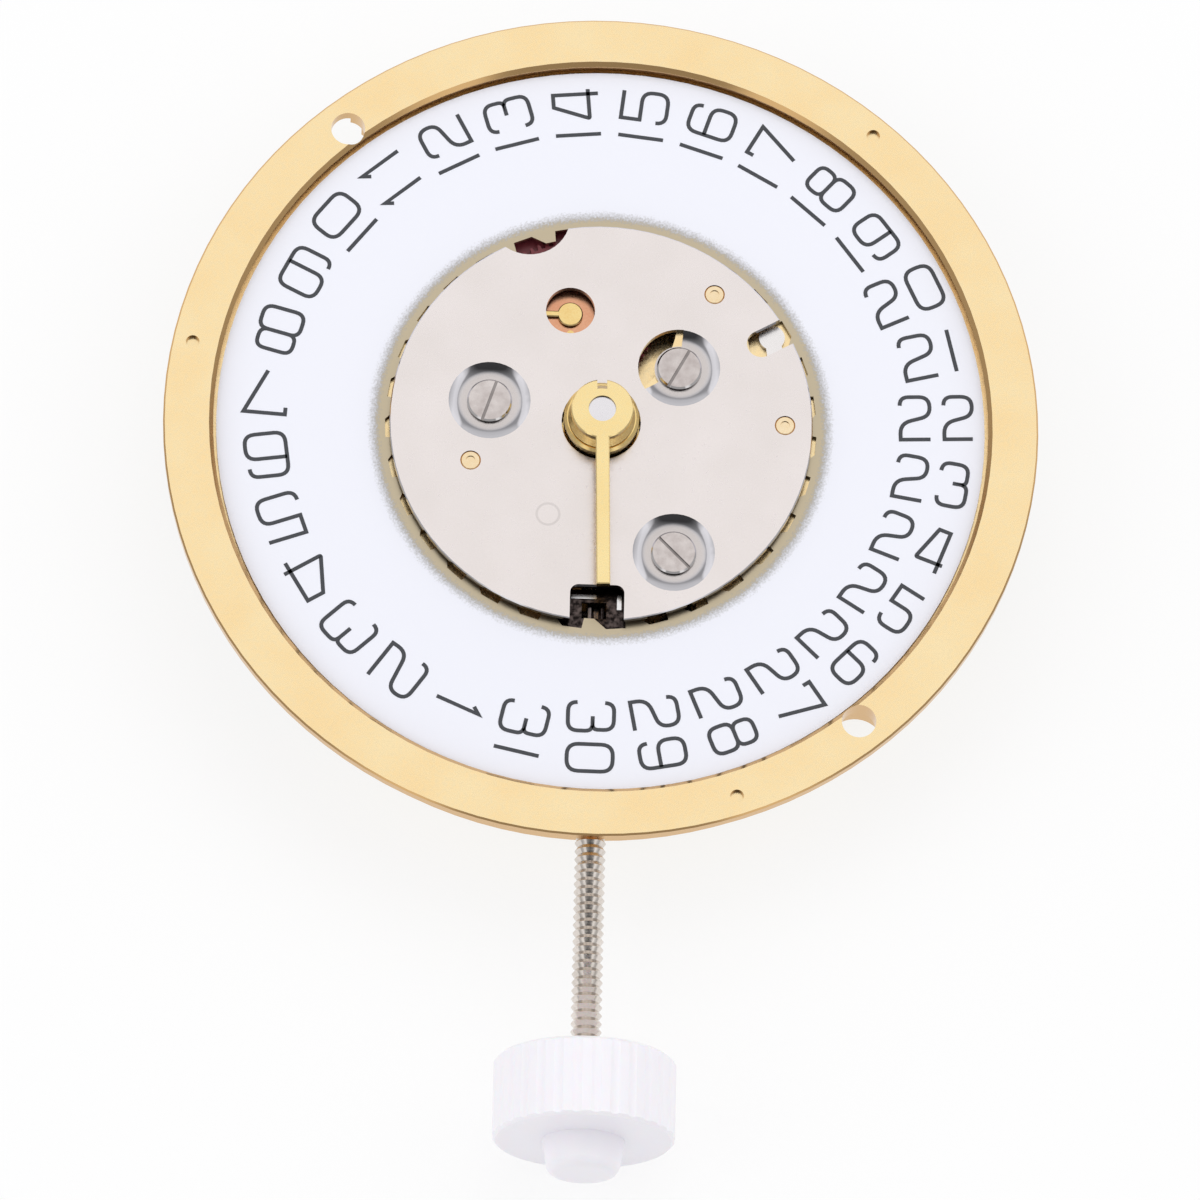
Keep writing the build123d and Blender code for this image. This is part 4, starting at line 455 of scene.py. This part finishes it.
# Board tracks and pads: copper foil, etched and gilt, on the back of the board. They run from
# the chip's legs to the contacts, the crystal, the coil and the test pads, and give a
# bright flat gold. Their places are counted from the chip's middle, in millimetres.
board_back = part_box("circuit_board")[0].z / mm
lower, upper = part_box("timing_chip")
chip = Vector(((lower.x + upper.x) / 2, (lower.y + upper.y) / 2)) / mm
leg_reach = 0.3
leg = (upper.x - lower.x) / 2 / mm + leg_reach
near_leg = 0.25
far_leg = 0.75
lead_gap = 0.3
lead_overlap = 0.2
lead_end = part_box("crystal_leads")[1].x / mm - chip.x - lead_overlap
lead_middle = sum(corner.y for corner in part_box("crystal_leads")) / 2 / mm - chip.y
coil_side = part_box("coil_bobbin")[0].x / mm
coil_pad_gap = 0.75
coil_pads = [Vector((coil_side - coil_pad_gap, y)) for y in (-3.9, 5.4)]
track_width = 0.16
track_height = 0.012
pad_radius = 0.34
pad_sink = 1.5
round_steps = 24
least_mitre = 0.35
crystal_tracks = [
    [(near_leg, leg), (near_leg, 1.9), (lead_end, lead_middle - lead_gap)],
    [(far_leg, leg), (far_leg, 1.6), (2.2, 2.0), (lead_end, lead_middle + lead_gap)],
]
tracks = [
    [(leg, far_leg), (3.0, far_leg), (4.2, -0.6), (4.9, -0.6), (5.81, -1.7)],
    [(leg, near_leg), (2.4, near_leg), (3.8, -1.2), (4.6, -3.0), (5.2, -9.4), (5.7, -11.0)],
    [(leg, -near_leg), (2.2, -near_leg), (3.0, -1.1)],
    [(-leg, far_leg), (-2.6, far_leg), (-4.2, 0.2), (-6.6, 0.2), (-7.6, -0.6)],
    [(-leg, near_leg), (-2.6, near_leg), (-3.4, -0.3), (-5.4, -0.3), (-6.4, -1.6),
     (-6.4, -4.4)],
    [(-leg, -near_leg), (-2.6, -near_leg), (-3.6, -1.1), (-4.2, -1.6), (-4.2, -2.6)],
    [(-leg, -far_leg), (-2.2, -far_leg), (-2.6, -1.6)],
    *crystal_tracks,
    [(-near_leg, leg), (-near_leg, 1.7)],
    [(-far_leg, leg), (-far_leg, 1.7), (-2.0, 1.7)],
    [(-far_leg, -leg), (-far_leg, -1.7), (-1.6, -2.2)],
]


def add_ribbon(vertices, faces, line, width, under, top):
    """Adds a flat ribbon along a line: a closed thin strip with square ends."""
    first = len(vertices)
    per_point = 4
    for i, point in enumerate(line):
        run_in = (point - line[i - 1]).normalized() if i else (line[1] - point).normalized()
        run_out = (line[i + 1] - point).normalized() if i + 1 < len(line) else run_in
        across = Vector((-(run_in + run_out).y, (run_in + run_out).x)).normalized()
        mitre = max(least_mitre, across.dot(Vector((-run_in.y, run_in.x))))
        across *= width / 2 / mitre
        for side in (across, -across):
            for level in (top, under):
                vertices.append((point.x + side.x, point.y + side.y, level))
    for i in range(len(line) - 1):
        a = first + per_point * i
        b = a + per_point
        faces.extend([(a, a + 2, b + 2, b), (a + 1, b + 1, b + 3, a + 3), (a, b, b + 1, a + 1),
                      (a + 2, a + 3, b + 3, b + 2)])
    last = first + per_point * (len(line) - 1)
    faces.extend([(first, first + 1, first + 3, first + 2),
                  (last, last + 2, last + 3, last + 1)])


def join_rings(faces, low, high, steps):
    """Adds the faces between two rings of points, from the numbers of their first points."""
    for step in range(steps):
        after = (step + 1) % steps
        faces.append((low + step, low + after, high + after, high + step))


vertices = []
faces = []
for corners in tracks:
    line = [chip + Vector(corner) for corner in corners]
    add_ribbon(vertices, faces, line, track_width, board_back - track_height,
               board_back + track_height)
for pad in [chip + Vector(corners[-1]) for corners in tracks] + coil_pads:
    first = len(vertices)
    for level in (board_back - pad_sink * track_height, board_back + track_height):
        for step in range(round_steps):
            turn = 2 * pi * step / round_steps
            vertices.append((pad.x + pad_radius * cos(turn), pad.y + pad_radius * sin(turn),
                             level))
    faces.append([first + step for step in reversed(range(round_steps))])
    faces.append([first + round_steps + step for step in range(round_steps)])
    join_rings(faces, first, first + round_steps, round_steps)
new_object("board_tracks", vertices, faces,
           metal("gilt_track", "#E9C36E", "#F2D080", roughness=0.28, grain=0.10, depth=0.001),
           "root")


# Solder joints: soft solder, melted on the pads of the coil's tails and the crystal's leads.
# It sets as small, bright, tinned domes.
solder_radius = 0.30
solder_height = 0.16
dome_rings = 5
vertices = []
faces = []
for pad in coil_pads + [chip + Vector(corners[-1]) for corners in crystal_tracks]:
    first = len(vertices)
    for ring in range(dome_rings):
        rise = pi / 2 * ring / dome_rings
        for step in range(round_steps):
            turn = 2 * pi * step / round_steps
            spread = solder_radius * cos(rise)
            vertices.append((pad.x + spread * cos(turn), pad.y + spread * sin(turn),
                             board_back - solder_height * sin(rise)))
    tip = len(vertices)
    vertices.append((pad.x, pad.y, board_back - solder_height))
    faces.append([first + step for step in range(round_steps)])
    for ring in range(dome_rings - 1):
        row = first + ring * round_steps
        join_rings(faces, row + round_steps, row, round_steps)
    row = first + (dome_rings - 1) * round_steps
    for step in range(round_steps):
        faces.append((row + step, tip, row + (step + 1) % round_steps))
solder = new_object("solder_joints", vertices, faces, tinned, "root")
solder.data.polygons.foreach_set("use_smooth", [True] * len(solder.data.polygons))


# Coil tails: the two ends of the coil's own enamelled wire, led in a small bow to their pads.
# The real wire is 0.02 mm thick, and is drawn 0.08 mm thick so that it shows.
wire_radius = 0.04
wire_steps = 8
tail_steps = 10
tail_inset = 0.1
tail_reach = 3.2
tail_depth = 0.35
bow_aside = 0.3
bow_drop = 0.25
coil_middle = (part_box("coil_winding")[0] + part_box("coil_winding")[1]) / 2 / mm
vertices = []
faces = []
for pad in coil_pads:
    side = 1 if pad.y > coil_middle.y else -1
    end = Vector((coil_side + tail_inset, coil_middle.y + side * tail_reach,
                  coil_middle.z - tail_depth))
    start = Vector((pad.x, pad.y, board_back - solder_height))
    bow = (start + end) / 2 + Vector((0, bow_aside * side, -bow_drop))
    shares = [step / tail_steps for step in range(tail_steps + 1)]
    line = [start.lerp(bow, share).lerp(bow.lerp(end, share), share) for share in shares]
    first = len(vertices)
    for i, point in enumerate(line):
        run = (line[min(i + 1, tail_steps)] - line[max(i - 1, 0)]).normalized()
        across = run.cross(Vector((0, 0, 1))).normalized()
        up = across.cross(run)
        for step in range(wire_steps):
            turn = 2 * pi * step / wire_steps
            vertices.append(point + (across * cos(turn) + up * sin(turn)) * wire_radius)
    for i in range(tail_steps):
        row = first + i * wire_steps
        join_rings(faces, row, row + wire_steps, wire_steps)
    last = first + tail_steps * wire_steps
    faces.append([first + step for step in reversed(range(wire_steps))])
    faces.append([last + step for step in range(wire_steps)])
tails = new_object("coil_tails", vertices, faces, enamelled_copper, "root")
tails.data.polygons.foreach_set("use_smooth", [True] * len(tails.data.polygons))


# Keyless works and date corrector: gear steel, stamped or cut, then hardened and left dark.
# Hardening gives a brownish grey with a dull shine.
dress(metal("dark_gear_steel", "#6E6462", "#8C8280", roughness=0.2, grain=0.10, depth=0.001),
      "setting_wheel", "sliding_pinion", "yoke", "setting_lever", "date_corrector_wheel")


# Keyless cover: hardened steel, stamped with two ribs, over the keyless works. It gives a
# stained near-black, with a painted highlight, near-white, on top of the ribs, from 0.58 mm
# below the dial seat up.
rib_level = (-0.585, -0.575)
stain_grain = 0.15
stain_detail = 3.0
stain_range = (0.4, 0.65)
material, tree = new_material("dark_hardened_steel")
place = add(tree, "TexCoord").outputs["Object"]
level = add(tree, "SeparateXYZ", {0: place})
painted_rib_highlight = add(tree, "MapRange", {0: level.outputs[2], 1: rib_level[0] * mm,
                                2: rib_level[1] * mm})
fine = add(tree, "TexNoise", {"Vector": place, "Scale": 1 / (stain_grain * mm),
                              "Detail": stain_detail})
stain = add(tree, "MapRange", {0: fine.outputs[0], 1: stain_range[0], 2: stain_range[1]})
dark = add(tree, "Mix", {0: stain.outputs[0], 6: linear("#1F1A19"), 7: linear("#5E5350")},
           data_type="RGBA")
# The ribs' tops are painted near-white as a highlight.
hue = add(tree, "Mix", {0: painted_rib_highlight.outputs[0], 6: dark.outputs[2], 7: linear("#F2F0F0")},
          data_type="RGBA")
shader = add(tree, "BsdfPrincipled", {"Base Color": hue.outputs[2], "Metallic": 1.0,
                                      "Roughness": 0.2})
add(tree, "OutputMaterial", {"Surface": shader.outputs[0]})
dress(material, "keyless_cover")


# Stem: steel, turned, with its long thread rolled, and pushed in from the side.
# Rolling gives a warm silver shine on each ridge.
dress(metal("rolled_stem_steel", "#D6CEC6", "#E6DED7", roughness=0.17, grain=0.10,
            depth=0.002), "stem")


# Cannon pinion: steel, turned and drilled, a friction fit on the centre wheel's arbor.
# Its end is left pale and satin, and shows as a near-white disc in the hand's hole.
dress(metal("pale_cannon_steel", "#E6E3E6", "#F0EDF0", roughness=0.25, grain=0.08,
            depth=0.001), "cannon_pinion")


# Date driving wheel: dark red resin, moulded with its teeth and its wide rim, and loose on
# its brass post. The moulding gives a deep wine red with a soft gloss.
dress(plain_material("dark_red_resin", "#7D3139", roughness=0.35, grain=0.15, depth=0.002),
      "date_driving_wheel")


# Date finger: spring bronze, stamped, and carried round by the wheel's brass pin.
# The bronze gives a copper-coloured satin.
dress(metal("copper_coloured_bronze", "#DD9F7C", "#E8B08E", roughness=0.22, grain=0.08,
            depth=0.001), "date_finger")


# Date ring: brass sheet, stamped with 31 inner teeth and sprayed with white lacquer on top.
# The lacquer gives a clean, cool white. It ends short of the teeth in a ragged, thinner grey
# edge, and the bare metal shows there. Each pair says where, past the edge, it begins and ends.
lacquer_edge = 6.54
fray_grain = 0.06
fray_reach = 0.55
fray_detail = 4.0
fray_roughness = 0.7
lacquer_starts = (0.20, 0.34)
lacquer_thickens = (0.26, 0.56)
material, tree = new_material("white_lacquer_on_brass")
place = add(tree, "TexCoord").outputs["Object"]
flat = add(tree, "VectorMath", {0: place, 1: (1, 1, 0)}, operation="MULTIPLY")
distance = add(tree, "VectorMath", {0: flat.outputs[0]}, operation="LENGTH")
ragged = add(tree, "TexNoise", {"Vector": place, "Scale": 1 / (fray_grain * mm),
                                "Detail": fray_detail, "Roughness": fray_roughness})
fray = add(tree, "Math", {0: ragged.outputs[0], 1: fray_reach * mm,
                          2: distance.outputs["Value"]}, operation="MULTIPLY_ADD")
cover = add(tree, "MapRange", {0: fray.outputs[0], 1: (lacquer_edge + lacquer_starts[0]) * mm,
                               2: (lacquer_edge + lacquer_starts[1]) * mm})
thick = add(tree, "MapRange", {0: fray.outputs[0],
                               1: (lacquer_edge + lacquer_thickens[0]) * mm,
                               2: (lacquer_edge + lacquer_thickens[1]) * mm})
sprayed = add(tree, "Mix", {0: thick.outputs[0], 6: linear("#AAA7A4"), 7: linear("#F3F4FD")},
              data_type="RGBA")
paint = add(tree, "BsdfPrincipled", {"Base Color": sprayed.outputs[2], "Roughness": 0.45})
bare = add(tree, "BsdfPrincipled", {"Base Color": linear("#CBBDA2"), "Metallic": 1.0,
                                    "Roughness": 0.3})
blend = add(tree, "MixShader", {0: cover.outputs[0], 1: bare.outputs[0], 2: paint.outputs[0]})
add(tree, "OutputMaterial", {"Surface": blend.outputs[0]})
dress(material, "date_ring")


# Date numbers: 1 to 31, printed on the lacquer in dark grey ink by a pad, and read from the
# ring's middle outwards. The ink gives thin, matt lines. The pad came down a little off centre.
# A stroke is its corners, across and up, as shares, each with how far before it the arc begins.
digit_strokes = {
    "0": [[(0.5, 1, 0), (0, 1, 0.26), (0, 0, 0.26), (1, 0, 0.26), (1, 1, 0.26), (0.5, 1, 0)]],
    "2": [[(0, 0.80, 0), (0, 1, 0.2), (1, 1, 0.24), (1, 0.55, 0.2), (0, 0.38, 0.24), (0, 0, 0),
           (1, 0, 0)]],
    "3": [[(0, 0.80, 0), (0, 1, 0.2), (0.95, 1, 0.22), (0.95, 0.54, 0.12), (0.48, 0.54, 0)],
          [(0.82, 0.54, 0), (1, 0.54, 0.16), (1, 0, 0.22), (0, 0, 0.2), (0, 0.20, 0)]],
    "4": [[(0.84, 0, 0), (0.84, 1, 0), (0.42, 1, 0), (0, 0.22, 0.05), (1, 0.22, 0)]],
    "5": [[(0.98, 1, 0), (0.05, 1, 0), (0.05, 0.58, 0), (1, 0.58, 0.24), (1, 0, 0.24),
           (0, 0, 0.22), (0, 0.22, 0)]],
    "6": [[(0.95, 0.80, 0), (0.95, 1, 0.2), (0.02, 1, 0.24), (0.02, 0, 0.24), (1, 0, 0.24),
           (1, 0.58, 0.24), (0.02, 0.58, 0)]],
    "7": [[(0, 0.84, 0), (0, 1, 0), (1, 1, 0), (0.50, 0, 0)]],
    "8": [[(0.5, 1, 0), (0.06, 1, 0.2), (0.06, 0.55, 0.18), (0.94, 0.55, 0.18),
           (0.94, 1, 0.2), (0.5, 1, 0)],
          [(0.5, 0.55, 0), (0, 0.55, 0.2), (0, 0, 0.22), (1, 0, 0.22), (1, 0.55, 0.2),
           (0.5, 0.55, 0)]],
}
digit_strokes["9"] = [[(1 - x, 1 - y, bend) for x, y, bend in stroke]
                      for stroke in digit_strokes["6"]]
bar_stroke = [[(0, 0, 0), (0, 1, 0)]]
flag_stroke = [[(0, 0, 0), (0, 1, 0), (-0.16, 0.84, 0)]]
flag_pitch = 1.08
digit_height = 1.335
lone_digit = (-0.61, 1.22)
bar_before, digit_after_bar = (-0.73, 1.0), (-0.22, 0.94)
digit_before_bar, bar_after = (-0.735, 0.94), (0.76, 1.0)
first_digit, second_digit = (-1.035, 0.875), (0.25, 0.83)
ink_width = 0.115
ink_height = 0.008
stroke_lift_share = 0.25
number_middle = 9.82
print_centre = Vector((-0.015, 0.19))
print_turn = -0.47
stem_side = -90
ring_days = 31
lower_middle_day = 30
shortest_run = 0.01
arc_steps = 6


def rounded(points, scale):
    """A line of points, scaled to its size, with each corner turned by the arc it asks for."""
    line = [(Vector((x * scale[0], y * scale[1])), bend * scale[1]) for x, y, bend in points]
    result = [line[0][0]]
    for (before, _), (corner, bend), (after, _) in zip(line, line[1:], line[2:]):
        if not bend:
            result.append(corner)
            continue
        start = corner + (before - corner).normalized() * bend
        end = corner + (after - corner).normalized() * bend
        for step in range(arc_steps + 1):
            share = step / arc_steps
            result.append(start.lerp(corner, share).lerp(corner.lerp(end, share), share))
    result.append(line[-1][0])
    return result[:1] + [point for before, point in zip(result, result[1:])
                         if (point - before).length > shortest_run]


def number_layout(text):
    """For each digit of a number: its strokes, where it starts along the radius, its width."""
    if text == "1":
        return [(flag_stroke, 0, 1.0)]
    if text == "11":
        return [(flag_stroke, -flag_pitch / 2, 1.0), (flag_stroke, flag_pitch / 2, 1.0)]
    if len(text) == 1:
        return [(digit_strokes[text], *lone_digit)]
    if text[0] == "1":
        return [(bar_stroke, *bar_before), (digit_strokes[text[1]], *digit_after_bar)]
    if text[1] == "1":
        return [(digit_strokes[text[0]], *digit_before_bar), (bar_stroke, *bar_after)]
    return [(digit_strokes[text[0]], *first_digit), (digit_strokes[text[1]], *second_digit)]


ring_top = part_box("date_ring")[1].z / mm
vertices = []
faces = []
for day in range(1, ring_days + 1):
    angle = radians(stem_side + print_turn + (lower_middle_day - day) * 360 / ring_days)
    outwards = Vector((cos(angle), sin(angle)))
    upwards = Vector((-sin(angle), cos(angle)))
    for strokes, start, width in number_layout(str(day)):
        for layer, stroke in enumerate(strokes):
            over = ring_top + ink_height * (1 + layer * stroke_lift_share)
            line = [print_centre + outwards * (number_middle + start + point.x)
                    + upwards * (point.y - digit_height / 2)
                    for point in rounded(stroke, (width, digit_height))]
            add_ribbon(vertices, faces, line, ink_width, ring_top - ink_height, over)
new_object("date_numbers", vertices, faces,
           plain_material("printing_ink", "#43454A", roughness=0.55, grain=0.12, depth=0.002),
           "date_ring")


# Guide pins: pale brass, turned, and pressed through the cover into the plate.
# They give small pale gold dots with a ring of shine.
# The deeper gold on their slopes is painted shade.
dress(metal("pale_brass", "#F3D9AE", "#FBE6C2", roughness=0.22, grain=0.10, depth=0.0006,
            painted_slope_shading="#E2BE8C", slope_roughness=0.12), "guide_pins")


# Cover of the date ring: nickel silver sheet, stamped, ground satin on its flat, with
# a polished bowl pressed in for each screw. It gives a warm silver grey, with a cooler,
# slightly darker grey painted on the slopes as shade. The bowls mirror the lamps and have
# painted shade at their foot. A faint round mark of the press shows.
mark_place = Vector((-1.49, -2.93, 0)) * mm
mark_radius = 0.33
mark_line = (0.02, 0.05)
mark_shade = 0.86
bowl_depth = 0.12
bowl_rim_share = 0.25
painted_bowl_shade = 0.78


def darken(material, share):
    """Multiplies a metal's colour by a share."""
    tree = material.node_tree
    colour = next(node for node in tree.nodes
                  if node.type == "BSDF_PRINCIPLED").inputs["Base Color"]
    hue = colour.links[0].from_socket
    darker = add(tree, "Mix", {0: 1.0, 6: hue, 7: share}, data_type="RGBA",
                 blend_type="MULTIPLY")
    tree.links.new(darker.outputs[2], colour)


nickel = metal("satin_nickel_silver", "#EAE2DF", "#F0E8E6", roughness=0.24, grain=0.14,
               depth=0.0012, painted_slope_shading="#DCDADF", slope_roughness=0.06)
cover_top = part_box("date_ring_cover")[1].z
tree = nickel.node_tree
place = add(tree, "TexCoord").outputs["Object"]
from_mark = add(tree, "VectorMath", {0: place, 1: mark_place}, operation="DISTANCE")
off_line = add(tree, "Math", {0: from_mark.outputs["Value"], 1: mark_radius * mm},
               operation="SUBTRACT")
off_line = add(tree, "Math", {0: off_line.outputs[0]}, operation="ABSOLUTE")
scratch = add(tree, "MapRange", {0: off_line.outputs[0], 1: mark_line[0] * mm,
                                 2: mark_line[1] * mm, 3: mark_shade, 4: 1.0})
level = add(tree, "SeparateXYZ", {0: place})
# Painted shade: each bowl darkens towards its foot, from a quarter of its depth down.
bowl_painted_shade = add(tree, "MapRange", {0: level.outputs[2], 1: cover_top - bowl_depth * mm,
                              2: cover_top - bowl_depth * bowl_rim_share * mm, 3: painted_bowl_shade})
# shade joins the press mark with the painted shade of the bowls.
shade = add(tree, "Math", {0: scratch.outputs[0], 1: bowl_painted_shade.outputs[0]}, operation="MULTIPLY")
darken(nickel, shade.outputs[0])
dress(nickel, "date_ring_cover")


# Date jumper and setting lever spring: nickel silver sheet, stamped as springs, left plain.
# It gives the same warm silver, without the ground grain.
dress(metal("plain_nickel_silver", "#EFEBEA", "#F5F1F0", roughness=0.25, grain=0.08,
            depth=0.001), "date_jumper", "setting_lever_spring")


# Cover screws: steel, turned, slotted and polished, one in each bowl of the cover. They shine
# as the other screws do, and have painted shade in their slots and down their sides.
# The pair says how far below the top that begins and is full.
painted_screw_shade = 0.48
painted_shade_depth = (0.058, 0.050)
screws = metal("polished_cover_screw", **turned_steel)
head_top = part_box("cover_screws")[1].z
tree = screws.node_tree
level = add(tree, "SeparateXYZ", {0: add(tree, "TexCoord").outputs["Object"]})
# Painted shade: the heads darken in their slots and down their sides, below the top.
painted_slot_shade = add(tree, "MapRange", {0: level.outputs[2], 1: head_top - painted_shade_depth[0] * mm,
                               2: head_top - painted_shade_depth[1] * mm, 3: painted_screw_shade, 4: 1.0})
darken(screws, painted_slot_shade.outputs[0])
dress(screws, "cover_screws")


# Test hand: brass strip, stamped, satin on both sides, and pushed on its collet.
# The satin gives an even light yellow, and the cut edges shine.
dress(metal("satin_brass_strip", "#FCE0A0", "#FFE8AC", roughness=0.26, grain=0.10,
            depth=0.0006, slope_roughness=0.15), "test_hand")


# Crown: a plain one of white plastic, moulded with flutes and a short stub, and screwed on
# the stem for handling the movement before it is cased. Light goes a little way into the
# plastic, which gives a soft, cool white without hard shadows.
dress(plain_material("white_moulded_plastic", "#FAF8FF", roughness=0.34, grain=0.50,
                     depth=0.0002, darkest=0.99, Subsurface_Weight=0.15,
                     Subsurface_Scale=0.001), "crown")
